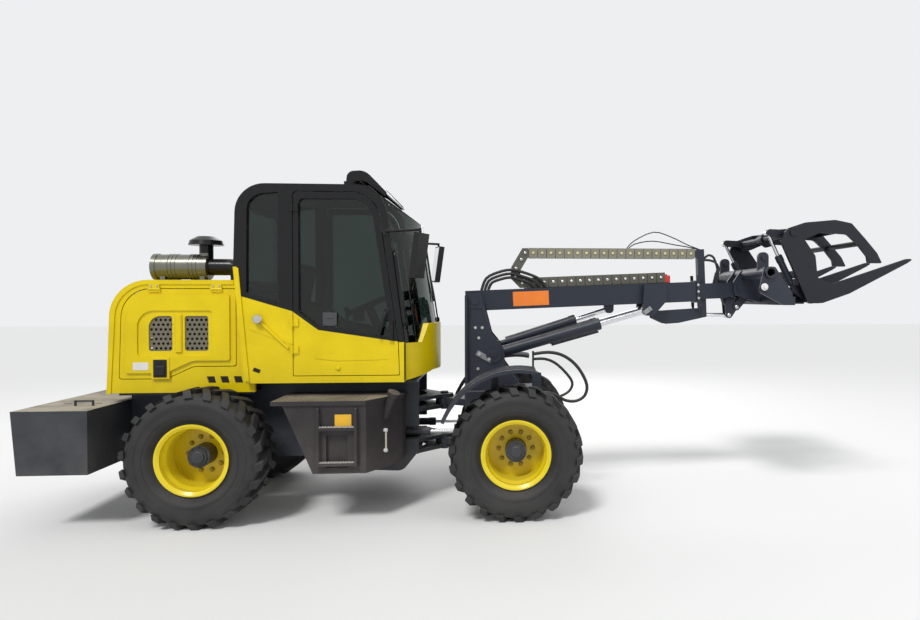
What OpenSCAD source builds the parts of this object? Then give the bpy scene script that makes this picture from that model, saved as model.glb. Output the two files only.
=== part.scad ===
// Telescopic wheel loader with a wide grapple on its boom.
// X runs forwards, Y to the left and Z up from the ground. Lengths are in millimetres.
// Stations along X in the tables below are measured from the front axle.

/* [Running gear] */
// Distance between the axles
wheelbase = 2440; // [2400:10:2480]
// Distance between the middle planes of a pair of tyres
track = 1560; // [1540:5:1600]
// Outer diameter of the tyres over the lugs
tyre_d = 1050; // [1030:5:1060]
// Width of the tyres
tyre_w = 400; // [380:5:410]
// Height of the tread lugs
lug_h = 34; // [20:1:40]
// Lugs on each side of a tyre
lug_count = 22; // [16:1:24]
// Rim diameter over the flanges
rim_d = 548; // [520:2:560]
// Rim width over the flanges
rim_w = 330; // [310:5:340]
// Thickness of the rim's sheet
rim_t = 12; // [8:1:16]
// Depth of the wheel disc behind the outer flange
dish = 290; // [260:5:296]
// Diameter of the planetary hubs
hub_d = 170; // [140:2:190]
// Length of a hub in front of the wheel disc
hub_out = 150; // [100:5:170]

/* [Frames] */
// Distance of the articulation pivot behind the front axle
pivot_back = 630; // [620:5:640]
// Radius of the two articulation pins
pivot_r = 35; // [25:1:45]
// Thickness of the front frame's pivot tongues
tongue_t = 60; // [40:2:66]
// Thickness of the rear frame's fork plates
fork_t = 30; // [20:1:34]
// Thickness of the chassis side plates
rail_t = 30; // [20:1:40]
// Thickness of the tower's side plates
tower_t = 25; // [16:1:32]
// Free width between the tower's side plates
tower_gap = 350; // [346:2:360]

/* [Body] */
// Width of the counterweight
weight_w = 1950; // [1850:10:1960]
// Width of the engine hood
hood_w = 1090; // [1060:5:1110]
// Thickness of the hood's walls
hood_t = 35; // [25:1:40]
// Width of the cab
cab_w = 1200; // [1180:5:1220]
// Thickness of the cab's walls and doors
cab_t = 60; // [50:1:65]
// Gap around the doors
door_gap = 6; // [5:0.5:8]
// Thickness of the window panes
pane_t = 8; // [5:1:10]

/* [Boom] */
// Slope of the boom as it is carried
boom_tilt = 2.36; // [0:0.1:5]
// Width of the outer boom
boom_w = 200; // [190:2:206]
// Height of the outer boom
boom_h = 180; // [172:2:186]
// Wall thickness of both booms
boom_t = 10; // [6:1:12]
// Space between the two booms, taken up by wear pads
pad_gap = 9; // [6:0.5:12]
// Radius of the boom's foot pin
foot_r = 35; // [25:1:40]
// Radius of the lift cylinders' pins
lift_pin_r = 25; // [18:1:28]
// Outer diameter of the lift cylinders
lift_d = 100; // [90:2:104]
// Diameter of the lift cylinders' rods
lift_rod_d = 55; // [40:1:60]
// Outer diameter of the levelling cylinder
level_d = 90; // [70:2:94]
// Height of a link of the hose chain
chain_h = 90; // [70:2:96]
// Width of the hose chain
chain_w = 120; // [90:5:150]

/* [Grapple] */
// Width of the grapple over its side plates
grapple_w = 1430; // [1380:10:1480]
// Thickness of the tines
tine_t = 36; // [24:1:44]
// Thickness of the jaw's claws
claw_t = 30; // [20:1:36]
// Outer diameter of the carriage's cross tube
cross_d = 96; // [80:2:100]
// Radius of the jaw's hinge shaft
jaw_r = 25; // [18:1:28]

/* [Hidden] */
$fn = 48;
// Running clearance of pins in their bores
fit = 0.05;
// Gap between parts that seat on one another
seat = 0.3;

// Derived stations and levels
axle_z = tyre_d / 2;
rear_x = -wheelbase;
pivot_x = -pivot_back;
disc_y = track / 2 + rim_w / 2 - dish;
hub_r = hub_d / 2;
weight_back = -3705;
tine_tip = [3330, 2079];
mid_x = (tine_tip[0] + weight_back) / 2;

// Boom foot, lift and levelling pins: [x, z] in the machine, or in the boom's own axes where named boom_
foot = [-350, 1726];
lift_base = [-182, 1255];
level_base = [-150, 1332];
boom_lift_pin = [1530, -152];
boom_level_pin = [1206, -126];
boom_head_pin = [2407, 16];
boom_back = -85;
boom_end = 2030;
lift_y = 115;

// Tilt linkage in the boom's axes: lever pivot, rod pin, link pin and cylinder base
boom_lever = [2308, -109];
lever_rod = [10, -119];
lever_link = [76, -45];
head_link = [80, -60];
boom_tilt_base = [1643, -194];

function turn(p, a) = [p[0] * cos(a) - p[1] * sin(a), p[0] * sin(a) + p[1] * cos(a)];
function on_boom(p) = foot + turn(p, boom_tilt);
function slope(a, b) = atan2(b[1] - a[1], b[0] - a[0]);
function unit(v) = v / norm(v);
function flat(p) = [p[0], p[1]];
function bend(a, b) = a - b > 180 ? a - b - 360 : a - b < -180 ? a - b + 360 : a - b;

// Points of a polygon whose corners [x, y, radius] are rounded by arcs of n steps
function rounded(p, n = 8) = [
    for (i = [0:len(p) - 1]) each corner(
        flat(p[(i + len(p) - 1) % len(p)]), flat(p[i]), flat(p[(i + 1) % len(p)]), p[i][2], n)
];
function corner(a, b, c, r, n) = r <= 0 ? [b] :
    let(u = unit(a - b), v = unit(c - b), half = acos(u * v) / 2,
        mid = b + unit(u + v) * r / sin(half),
        s = b + u * r / tan(half) - mid, e = b + v * r / tan(half) - mid,
        a0 = atan2(s[1], s[0]), step = bend(atan2(e[1], e[0]), a0) / n)
    [for (k = [0:n]) mid + r * [cos(a0 + k * step), sin(a0 + k * step)]];

head_pin = on_boom(boom_head_pin);
lift_pin = on_boom(boom_lift_pin);
level_pin = on_boom(boom_level_pin);

yellow = "gold";
dark = "dimgray";
black = "#222428";
chrome = "silver";

// Placing helpers

// Both sides of the machine
module both() {
    children();
    mirror([0, 1, 0]) children();
}

// A side view drawn in X and Z, given a thickness from y0 to y1
module plate(y0, y1) {
    translate([0, y1, 0]) rotate([90, 0, 0]) linear_extrude(y1 - y0) children();
}

// A round bar across the machine at p = [x, z]
module bar_y(p, r, y0, y1) {
    translate([p[0], y1, p[1]]) rotate([90, 0, 0]) cylinder(r = r, h = y1 - y0);
}

// A plan view given a thickness from z0 to z1
module slab(z0, z1) {
    translate([0, 0, z0]) linear_extrude(z1 - z0) children();
}

// A block from its low corner to its high corner
module block(lo, hi) {
    translate(lo) cube(hi - lo);
}

// The boom's axes: X along the boom from the foot pin
module in_boom() {
    translate([foot[0], 0, foot[1]]) rotate([0, -boom_tilt, 0]) children();
}

// Local X along the line from a to b in the side view
module along(a, b) {
    translate([a[0], 0, a[1]]) rotate([0, -slope(a, b), 0]) children();
}

// A bar along local X
module bar_x(r, x0, x1) {
    translate([x0, 0, 0]) rotate([0, 90, 0]) cylinder(r = r, h = x1 - x0);
}

// A hydraulic barrel along local X: eye of bore bore_r at 0, tube from x0 to x1, hole for the rod
module barrel(d, rod_d, x0, x1, eye_r, bore_r, eye_w) {
    difference() {
        union() {
            rotate([90, 0, 0]) cylinder(r = eye_r, h = eye_w, center = true);
            bar_x(eye_r * 0.7, 0, x0 + 1);
            bar_x(d / 2, x0, x1);
            bar_x(d / 2 + 4, x1 - 60, x1 - 8);
        }
        rotate([90, 0, 0]) cylinder(r = bore_r, h = eye_w + 2, center = true);
        bar_x(rod_d / 2 + fit, x0 + 25, x1 + 1);
    }
}

// A piston rod along local X from x0 to its eye at x1
module rod(d, x0, x1, eye_r, bore_r, eye_w) {
    difference() {
        union() {
            bar_x(d / 2, x0, x1 - eye_r * 0.5);
            translate([x1, 0, 0]) rotate([90, 0, 0]) cylinder(r = eye_r, h = eye_w, center = true);
        }
        translate([x1, 0, 0]) rotate([90, 0, 0]) cylinder(r = bore_r, h = eye_w + 2, center = true);
    }
}

// Wheels

// Wheel axes: local Z points out of the machine, side is -1 on the right and 1 on the left
module at_wheel(x, side) {
    translate([x, side * track / 2, axle_z]) rotate([-90 * side, 0, 0]) mirror([0, side > 0 ? 1 : 0, 0])
        children();
}

// Tyre: a turned carcass with two rows of slanting lugs whose ends wrap the shoulders
module tyre_shape() {
    r = tyre_d / 2;
    tread_r = r - lug_h;
    seat_r = rim_d / 2 - 22 + seat;
    half = tyre_w / 2;
    bead = rim_w / 2 - 17;
    // half of the carcass: radius, offset, fillet
    flank = [[seat_r, bead, 0], [rim_d / 2 + 16, bead + 2, 12], [rim_d / 2 + 56, half - 2, 50],
             [tread_r - 60, half, 60], [tread_r, half - 24, 30]];
    flip = [for (i = [len(flank) - 1:-1:0]) [flank[i][0], -flank[i][1], flank[i][2]]];
    color(black) union() {
        rotate_extrude($fn = 88) polygon(rounded(concat(flank, flip), 4));
        intersection() {
            rotate_extrude($fn = 88) polygon([
                [tread_r - 34, -half], [tread_r - 34, half], [r - 44, half],
                [r, half - 30], [r, 30 - half], [r - 44, -half]]);
            for (row = [0, 1], i = [0:lug_count - 1])
                mirror([0, 0, row]) rotate([0, 0, (i + row / 2) * 360 / lug_count]) lug(tread_r - 20,
                    r + 2, half);
        }
    }
}

// One lug: a slanting bar from the shoulder past the middle, standing out along local X
module lug(r0, r1, half) {
    thick = 58;
    lean = 92;
    translate([r0, 0, 0]) rotate([90, 0, 90]) linear_extrude(r1 - r0)
        polygon([[-lean, half + 1], [thick - lean, half + 1], [thick, -12], [16, -30]]);
}

// Rim: one turned sheet with flanges, well and a deep disc that runs on the hub
module rim_shape() {
    f = rim_d / 2;
    s = f - 22;
    w = rim_w / 2;
    disc = w - dish;
    color(yellow) rotate_extrude($fn = 72) polygon([
        [f, w], [f, w - 8], [s, w - 16], [s, w - 66], [s - 16, w - 100], [s - 16, 100 - w], [s, 66 - w],
        [s, 16 - w], [f, 8 - w], [f, -w], [f - rim_t, -w], [s - rim_t, 14 - w],
        [s - rim_t, disc - 16], [hub_r + fit, disc - 16], [hub_r + fit, disc], [s - rim_t - 14, disc],
        [s - rim_t, disc + 16], [s - rim_t, 66 - w], [s - rim_t - 16, 102 - w], [s - rim_t - 16, w - 102],
        [s - rim_t, w - 66], [s - rim_t, w - 14], [f - rim_t, w]]);
}

module tyre(x, side) { at_wheel(x, side) tyre_shape(); }
module rim(x, side) { at_wheel(x, side) rim_shape(); }

// Axle: differential bowl, tubes, brake drums, hub flanges and planetary hubs in one casting
module axle(x, pad_z) {
    flange_y = disc_y - 16 - seat;
    color(dark) translate([x, 0, 0]) {
        translate([0, 0, axle_z]) rotate([0, 90, 0]) cylinder(r = 150, h = 260, center = true);
        bar_y([0, axle_z], 72, -flange_y, flange_y);
        both() {
            bar_y([0, axle_z], 118, flange_y - 90, flange_y - 24);
            bar_y([0, axle_z], 150, flange_y - 26, flange_y);
            bar_y([0, axle_z], hub_r, flange_y - 1, disc_y + hub_out);
            bar_y([0, axle_z], hub_r - 22, disc_y + hub_out - 1, disc_y + hub_out + 14);
            block([-70, 270, axle_z], [70, 330, pad_z]);
        }
    }
}

// Rear frame

rail_y = 300;
rail_bottom = 640;
deck_z = 990;
cab_z = 1085;
pivot_z = [480, 835];
steer_z = 600;
steer_base = [-1130, 250];
steer_eye = [-500, 250];
steer_pin_r = 16;
fork_gap = tongue_t / 2 + 1;

module rear_chassis() {
    color(dark) union() {
        both() plate(rail_y, rail_y + rail_t) polygon([
            [-3165, rail_bottom], [rear_x + 280, rail_bottom], [rear_x + 440, 420], [-820, 420],
            [-820, steer_z - 54], [-990, steer_z - 54], [-990, steer_z + 54], [-820, steer_z + 54], [-820, cab_z - 40],
            [-2120, cab_z - 40], [-2120, deck_z - 20], [-3165, deck_z - 20]]);
        difference() {
            block([-3165, 20 - hood_w / 2, deck_z - 20], [-2120, hood_w / 2 - 20, deck_z]);
            block([-3090, -290, deck_z - 30], [-2320, 290, deck_z + 10]);
        }
        block([-2140, -480, cab_z - 40], [-820, 480, cab_z - 20]);
        block([-3165, -rail_y - 1, rail_bottom], [-3135, rail_y + 1, deck_z]);
        block([-2140, -rail_y - 1, rail_bottom], [-2110, rail_y + 1, cab_z - 20]);
        block([-1190, -rail_y - 1, 420], [-1160, rail_y + 1, cab_z - 20]);
        belly();
        for (z = pivot_z, s = [-1, 1]) fork(z + s * (fork_gap + fork_t / 2));
        for (z = pivot_z) translate([pivot_x, 0, z - fork_gap - fork_t - 18])
            cylinder(r = pivot_r, h = 2 * (fork_gap + fork_t) + 36);
        both() steer_bracket();
        both() block([-1100, rail_y + rail_t - 1, 860], [-1040, 346, 900]);
    }
}

// One fork plate of the articulation, at middle height z
module fork(z) {
    slab(z - fork_t / 2, z + fork_t / 2) difference() {
        union() {
            polygon([[-1161, -rail_y], [-1161, rail_y], [-820, rail_y], [pivot_x, 80], [pivot_x, -80],
                [-820, -rail_y]]);
            translate([pivot_x, 0]) circle(r = 80);
        }
        polygon([[-1110, -200], [-1110, 200], [-860, 200], [-790, 60], [-790, -60], [-860, -200]]);
    }
}

// Rounded pan under the gearbox
module belly() {
    plate(-rail_y + 10, rail_y - 10) difference() {
        polygon(rounded([[-1700, 430, 0], [-1620, 300, 60], [-960, 270, 90], [-830, 430, 0]]));
        polygon(rounded([[-1680, 441, 0], [-1606, 322, 50], [-962, 292, 80], [-852, 441, 0]]));
    }
    both() plate(rail_y - 20, rail_y + 1)
        polygon(rounded([[-1700, 430, 0], [-1620, 300, 60], [-960, 270, 90], [-830, 430, 0]]));
}

// Ears that carry a steering cylinder's base pin
module steer_bracket() {
    difference() {
        for (z = [steer_z - 52, steer_z + 32]) slab(z, z + 20) polygon([
            [-1161, 215], [-1161, 290], [-1120, 285], [-1105, 250], [-1120, 215]]);
        translate([steer_base[0], steer_base[1], 0]) cylinder(r = steer_pin_r - 4, h = 1200);
    }
    translate([steer_base[0], steer_base[1], steer_z - 52]) cylinder(r = steer_pin_r, h = 104);
}

module counterweight() {
    color(dark) difference() {
        union() {
            plate(-weight_w / 2, weight_w / 2) polygon([
                [weight_back, 915], [weight_back + 38, 440], [-3165, 440], [-3165, 915]]);
            both() lift_handle();
        }
        both() for (x = [-3560, -3330]) block([x, 560, 890], [x + 60, 584, 930]);
    }
}

// Bent bar for lifting the counterweight
module lift_handle() {
    for (x = [-3400, -3270]) translate([x, 700, 900]) cylinder(r = 9, h = 55);
    translate([-3400, 700, 955]) rotate([0, 90, 0]) cylinder(r = 9, h = 130);
    for (x = [-3400, -3270]) translate([x, 700, 955]) sphere(r = 9);
}

module engine_block() {
    color("slategray") union() {
        block([-3030, -255, 700], [-2360, 255, 1560]);
        both() block([-2900, 240, deck_z], [-2500, 420, deck_z + 50]);
        block([-2960, -150, 1550], [-2480, 150, 1690]);
    }
}

// Engine hood

hood_top = 1895;
hood_rear = -3250;
hood_hinges = [-2875, -2396];
// the sloping joint of hood and cab: x at height z
function joint_x(z) = -2240 + 85 * (hood_top - z) / (hood_top - cab_z);

hood_hinge_z = hood_top - 73;
// outline of the hood side door, grown by g
function hood_door_pts(g) = rounded([
    [-3150 - g, 1105 - g, 20], [-3125 - g, hood_hinge_z + g, 230], [-2250 + g, hood_hinge_z + g, 20],
    [-2250 + g, 1203 - g, 20], [-2579, 1203 - g, 120], [-2790, 1105 - g, 120]]);

module hood_shell() {
    grille = [380, 1130, 1650];
    color(yellow) both() for (x = hood_hinges) block([x - 40, hood_w / 2 - 1, hood_hinge_z + 9 + seat],
        [x + 40, hood_w / 2 + 14, hood_hinge_z + 38]);
    color(yellow) difference() {
        plate(-hood_w / 2, hood_w / 2) polygon(rounded([
            [hood_rear, deck_z, 0], [hood_rear + 34, hood_top, 300], [joint_x(hood_top) - 1, hood_top, 0],
            [joint_x(cab_z) - 1, cab_z - 21, 0], [-2105, cab_z - 21, 0], [-2105, deck_z, 0]], 12));
        plate(hood_t - hood_w / 2, hood_w / 2 - hood_t) polygon(rounded([
            [hood_rear + hood_t, deck_z - 1, 0], [hood_rear + 34 + hood_t, hood_top - hood_t, 268],
            [-2000, hood_top - hood_t, 0], [-2000, deck_z - 1, 0]], 12));
        plate(-hood_w, hood_w) polygon(hood_door_pts(door_gap));
        block([hood_rear - 10, -grille[0], grille[1]], [hood_rear + 100, grille[0], grille[2]]);
        both() for (x = [-2480, -2375, -2270]) plate(hood_w / 2 - 8, hood_w / 2 + 1)
            polygon([[x, 1120], [x + 60, 1120], [x + 75, 1065], [x + 15, 1065]]);
    }
}

module rear_grille() {
    w = 380 - seat;
    z0 = 1130 + seat;
    z1 = 1650 - seat;
    x = hood_rear + 30;
    color(black) union() {
        difference() {
            block([x, -w, z0], [x + 24, w, z1]);
            block([x - 1, 30 - w, z0 + 30], [x + 25, w - 30, z1 - 30]);
        }
        for (z = [z0 + 60:46:z1 - 50]) translate([x + 12, 0, z]) rotate([0, 35, 0])
            cube([6, 2 * w - 50, 40], center = true);
        block([x + 4, -15, z0 + 20], [x + 20, 15, z1 - 20]);
    }
}

hood_windows = [[[-2923, 1325, 20], [-2923, 1606, 90], [-2741, 1606, 20], [-2741, 1325, 20]],
                [[-2645, 1325, 20], [-2645, 1606, 20], [-2462, 1606, 20], [-2462, 1325, 20]]];

// Side door of the hood: a frame, a raised panel and two windows. side is -1 or 1
module hood_door(side) {
    y = hood_w / 2;
    color(yellow) mirror([0, side < 0 ? 1 : 0, 0]) union() {
        difference() {
            union() {
                plate(y - hood_t, y) polygon(hood_door_pts(0));
                plate(y - 1, y + 16) polygon(hood_door_pts(-45));
                for (x = hood_hinges) bar_hinge(x);
            }
            plate(y + 4, y + 20) polygon(rounded([[-3007, 1283, 30], [-3007, 1650, 130], [-2430, 1650, 20],
                [-2430, 1283, 30]]));
            for (w = hood_windows) plate(y - 50, y + 20) polygon(rounded(w));
        }
    }
}

// Perforated sheets in the windows of a hood door
module hood_mesh(side) {
    color(black) mirror([0, side < 0 ? 1 : 0, 0]) for (w = hood_windows) mesh_plate(w, hood_w / 2 - 10);
}

// A hinge knuckle on the hood door's upper edge
module bar_hinge(x) {
    translate([x - 45, hood_w / 2 + 12, hood_hinge_z]) rotate([0, 90, 0]) cylinder(r = 9, h = 90);
    block([x - 45, hood_w / 2 - 2, hood_hinge_z - 22], [x + 45, hood_w / 2 + 12, hood_hinge_z]);
}

// Sheet with rows of staggered hexagonal holes behind a window's outline
module mesh_plate(w, y) {
    step = 36;
    difference() {
        plate(y, y + 4) polygon(rounded([for (p = w) [p[0], p[1], p[2]]]));
        for (j = [0:6], i = [0:4]) translate([w[0][0] + 18 + (i + (j % 2) / 2) * step, 0, 1346 + j * 38])
            rotate([90, 0, 0]) cylinder(r = 12, h = 4 * hood_w, center = true, $fn = 6);
    }
}

// Air cleaner on the hood: ribbed canister on two saddles, rain cap on a stem, elbow into the hood
module air_cleaner() {
    y = -200;
    z = hood_top + 117;
    color("darkgray") translate([0, y, z]) {
        bar_x(106, -3020, -2580);
        bar_x(112, -3026, -2990);
        for (x = [-2900, -2870, -2840, -2730, -2700, -2670]) bar_x(110, x, x + 12);
        for (x = [-2960, -2640]) block([x, -70, hood_top - z], [x + 40, 70, -60]);
    }
    color(black) translate([-2610, y, 0]) {
        translate([0, 0, z + 60]) cylinder(r = 55, h = 150);
        translate([0, 0, z + 184]) cylinder(r1 = 140, r2 = 128, h = 40);
        translate([0, 0, z + 224]) cylinder(r1 = 128, r2 = 70, h = 34);
    }
    color(black) translate([0, y, z]) {
        bar_x(70, -2590, -2420);
        translate([-2420, 0, -80]) rotate([90, 0, 0]) rotate_extrude(angle = 90) translate([80,
            0]) circle(r = 70);
        translate([-2340, 0, hood_top - z]) cylinder(r = 70, h = z - 80 - hood_top);
    }
}

// Cab

roof_z = 2668;
cab_y = cab_w / 2;
sill_z = 1125;
// outline of the cab door, grown by g
function cab_door_pts(g) = rounded([
    [-1782 - g, sill_z - g, 10], [-1782 - g, 2605 + g, 40], [-1128 + g, 2605 + g, 230],
    [-955 + g, 1400, 0], [-945 + g, sill_z - g, 10]], 10);
// lower edge of the door's glass
door_sill = [[-1700, 1600], [-1617, 1498], [-953, 1373]];
quarter = [[-2150, 1790, 15], [-2140, 2575, 130], [-1895, 2600, 15], [-1895, 1705, 15]];
rear_window = [[-450, 1820, 40], [-450, 2480, 60], [450, 2480, 60], [450, 1820, 40]];
// front view of the nose: [y, z]
nose_front = [[-600, 1070], [-600, 1380], [-420, 1380], [-330, 1535], [330, 1535], [420, 1380], [600, 1380],
              [600, 1070], [250, 1135], [-250, 1135]];
nose_x = -665;
nose_r = 812;
screen_r = 728;
screen_lean = 8;
screen_x = -690;
brow = [[-807, 2385], [-1200, 2668]];

// A view from the front drawn in Y and Z, given a depth from x0 to x1
module front_view(x0, x1) {
    translate([x0, 0, 0]) rotate([90, 0, 90]) linear_extrude(x1 - x0) children();
}

module cab_tub() {
    color(yellow) union() {
        block([-2120, -cab_y, cab_z - 20], [-930, cab_y, cab_z + 6]);
        both() {
            plate(cab_y - cab_t, cab_y) difference() {
                polygon([[joint_x(cab_z), cab_z - 20], [joint_x(2000), 2000], [joint_x(2000) + 30, 2000],
                         [joint_x(1770) + 34, 1765], [-1780, 1640], [-1780, 1390], [-985, 1390], [-905, 1390],
                         [-905, cab_z - 20]]);
                polygon(cab_door_pts(door_gap));
            }
        }
        plate(1 - cab_y, cab_y - 1) polygon([
            [joint_x(cab_z), cab_z - 20], [joint_x(1800), 1800], [joint_x(1800) + 30, 1800],
                [joint_x(cab_z) + 30, cab_z - 20]]);
        intersection() {
            translate([nose_x - nose_r, 0, 1000]) difference() {
                cylinder(r = nose_r, h = 700, $fn = 96);
                translate([0, 0, -1]) cylinder(r = nose_r - 50, h = 702, $fn = 96);
            }
            front_view(-934, -600) polygon(nose_front);
        }
    }
}

// The leaning cylinder on which the windscreen lies, of radius r
module screen_round(r) {
    translate([screen_x, 0, 1450]) rotate([0, -screen_lean, 0]) translate([-screen_r, 0, -400])
        cylinder(r = r, h = 1700, $fn = 96);
}

// Slab of thickness t that follows the sloping pane over the windscreen, dropped by d, and reaches forward by reach
module brow_slab(d, t, reach = 700) {
    along(brow[1], brow[0]) block([-10, -cab_w, -d - t], [reach, cab_w, -d]);
}

module cab_frame() {
    inner = cab_y - cab_t;
    color(black) union() {
        both() plate(inner, cab_y) difference() {
            polygon(rounded([[joint_x(2000) + 31, 2001, 0], [joint_x(2000) + 3, 2001, 0],
                [-2228, roof_z, 235],
                             [-1066, roof_z, 270], [-905, 1391, 0], [-985, 1391, 0], [-1779, 1391, 0],
                                 [-1779, 1641, 0],
                             [joint_x(1770) + 35, 1766, 0]], 10));
            polygon(cab_door_pts(door_gap));
            polygon(rounded(quarter));
        }
        difference() {
            union() {
                plate(-inner - 1, inner + 1) polygon(rounded([
                    [-2232, 2350, 0], [-2228, roof_z, 235], [brow[1][0] + 10, roof_z, 0],
                        [brow[1][0] - 40, 2616, 0],
                    [-2150, 2616, 185], [-2190, 2350, 0]], 10));
                plate(seat - inner, inner - seat) polygon([
                    [joint_x(1800), 1801], [-2232, 2360], [-2190, 2360], [joint_x(1800) + 40, 1801]]);
            }
            front_view(-2300, -2100) polygon(rounded(rear_window));
        }
        both() pillar_flange(0);
        brow_frame(inner);
        both() grab_rail();
    }
}

// Front edge of the door pillar at height z
function pillar_x(z) = -905 - 161 * (z - 1391) / (roof_z - 1391);

// Flange on the inside of a door pillar, against which the windscreen ends. g is the clearance round it
module pillar_flange(g) {
    plate(cab_y - cab_t - 25 - g, cab_y - cab_t + 1) polygon([
        [pillar_x(1391) - 40 - g, 1391 - g], [pillar_x(2420) - 40 - g, 2420 + g],
            [pillar_x(2420) - 2 + g, 2420 + g],
        [pillar_x(1391) - 2 + g, 1391 - g]]);
}

// Cross bar under the sloping pane, where it meets the windscreen
module brow_frame(inner) {
    intersection() {
        difference() {
            screen_round(screen_r - pane_t - seat);
            screen_round(screen_r - 48);
        }
        front_view(-1150, -600) square_at([24 - inner, 2210], [inner - 24, 2290]);
    }
}

module square_at(lo, hi) { translate(lo) square(hi - lo); }

// Bent rail on the front of the door pillar
module grab_rail() {
    lo = [-905, 1500];
    hi = [-985, 2150];
    along(lo, hi) translate([0, cab_y - 25, 0]) {
        bar_x(13, 0, 650);
        for (x = [12, 638]) translate([x, 0, -8]) cylinder(r = 11, h = 60);
    }
}

// Windscreen, the sloping pane above it, the quarter panes and the rear pane
module cab_glass() {
    inner = cab_y - cab_t;
    color("lightsteelblue", 0.5) {
        intersection() {
            difference() {
                screen_round(screen_r);
                screen_round(screen_r - pane_t);
                front_view(-1000, -600) translate([0, seat]) polygon(nose_front);
                block([-1200, -cab_w, 900], [-600, cab_w, 1300]);
                both() pillar_flange(seat);
            }
            front_view(-1200, -600) square_at([seat - inner, 1300], [inner - seat, 2700]);
            brow_slab(14 + seat, 1500, 1700);
        }
        intersection() {
            brow_slab(2, 12);
            screen_round(screen_r);
            front_view(brow[1][0] + 10 + seat, -600) square_at([seat - inner, 2300], [inner - seat, 2700]);
        }
        both() plate(cab_y - 40, cab_y - 40 + pane_t) polygon(rounded(quarter));
        front_view(-2224, pane_t - 2224) polygon(rounded(rear_window));
    }
}

// Sun visor over the windscreen: a bent sheet between two side plates, with two work lamps
module roof_visor() {
    band = [[-1385, roof_z + 2, 0], [-1375, 2790, 60], [-1230, 2800, 120], [-1040, 2606, 20],
        [-1075, 2592, 0], [-1255, 2735, 110]];
    color(black) {
        both() plate(490, 500) polygon(rounded(band));
        plate(-495, 495) polygon(rounded([[-1362, 2740, 0], [-1357, 2784, 20], [-1232, 2794, 110],
            [-1045, 2600, 0],
                                           [-1052, 2592, 0], [-1236, 2783, 100], [-1347, 2774, 10],
                                               [-1352, 2740, 0]]));
        both() for (y = [250]) block([-1420, y - 60, roof_z], [-1330, y + 60, roof_z + 90]);
        both() block([-1400, 470, roof_z], [-1330, 499, roof_z + 40]);
    }
}

module mirrors() {
    color(black) both() {
        translate([-760, 790, 2085]) rotate([0, 8, 20]) block([-25, -85, -178], [25, 85, 178]);
        block([-1066, cab_y + seat, 2260], [-1020, cab_y + 12, 2320]);
        translate([-1045, cab_y + 10, 2290]) rotate([0, 90, 31]) cylinder(r = 11, h = 345);
        translate([-750, cab_y + 195, 2240]) cylinder(r = 10, h = 60);
    }
}

module seat() {
    color("#33363c") union() {
        block([-1900, -220, cab_z + 6], [-1560, 220, cab_z + 230]);
        block([-1960, -250, cab_z + 230], [-1480, 250, cab_z + 350]);
        translate([-1935, -235, cab_z + 340]) rotate([0, -8, 0]) cube([110, 470, 620]);
        translate([-2010, -120, cab_z + 950]) rotate([0, -8, 0]) cube([80, 240, 150]);
    }
}

module steering_console() {
    top = [-1290, 1660];
    color("#2c2f34") union() {
        block([-1120, -230, cab_z + 6], [-980, 230, 1500]);
        along([-1130, 1300], top) bar_x(38, -60, 420);
        along([-1130, 1300], top) translate([420, 0, 0]) rotate([0, 90,
            0]) rotate_extrude() translate([190, 0]) circle(r = 15);
        along([-1130, 1300], top) for (a = [90, 210, 330]) rotate([a, 0, 0])
            translate([414, -12, 0]) cube([12, 24, 190]);
        block([-1850, -480, cab_z + 6], [-1300, -330, 1480]);
        translate([-1400, -405, 1470]) cylinder(r = 12, h = 180);
        translate([-1400, -405, 1650]) sphere(r = 24);
    }
}

// A cab door: lower panel and upper frame round the glass. side is -1 or 1
module cab_door(side) {
    color(yellow) mirror([0, side < 0 ? 1 : 0, 0]) {
        difference() {
            plate(cab_y - cab_t, cab_y) polygon(cab_door_pts(0));
            plate(cab_y - cab_t - 1, cab_y + 1) polygon(door_glass_pts(0));
            plate(cab_y - 5, cab_y + 1) polygon([[-1617, 1264], [-1555, 1222], [-1440, 1222],
                [-1010, 1252], [-1440, 1242]]);
        }
        for (z = [1300, 1520, 2440]) {
            translate([-1790, cab_y + 18, z]) cylinder(r = 11, h = 70);
            block([-1788, cab_y - 2, z + 5], [-1740, cab_y + 14, z + 65]);
        }
        block([-1020, cab_y - 1, 1400], [-990, cab_y + 26, 1560]);
    }
}

function door_glass_pts(g) = rounded([
    [-1740, 1640, 15], [-1740, 2550, 40], [-1170, 2550, 190], [-1005, 1420, 15], [-1610, 1535, 30]], 10);

module door_glass(side) {
    color("lightsteelblue", 0.5) mirror([0, side < 0 ? 1 : 0, 0])
        plate(cab_y - 40, cab_y - 40 + pane_t) polygon(door_glass_pts(0));
}

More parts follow.
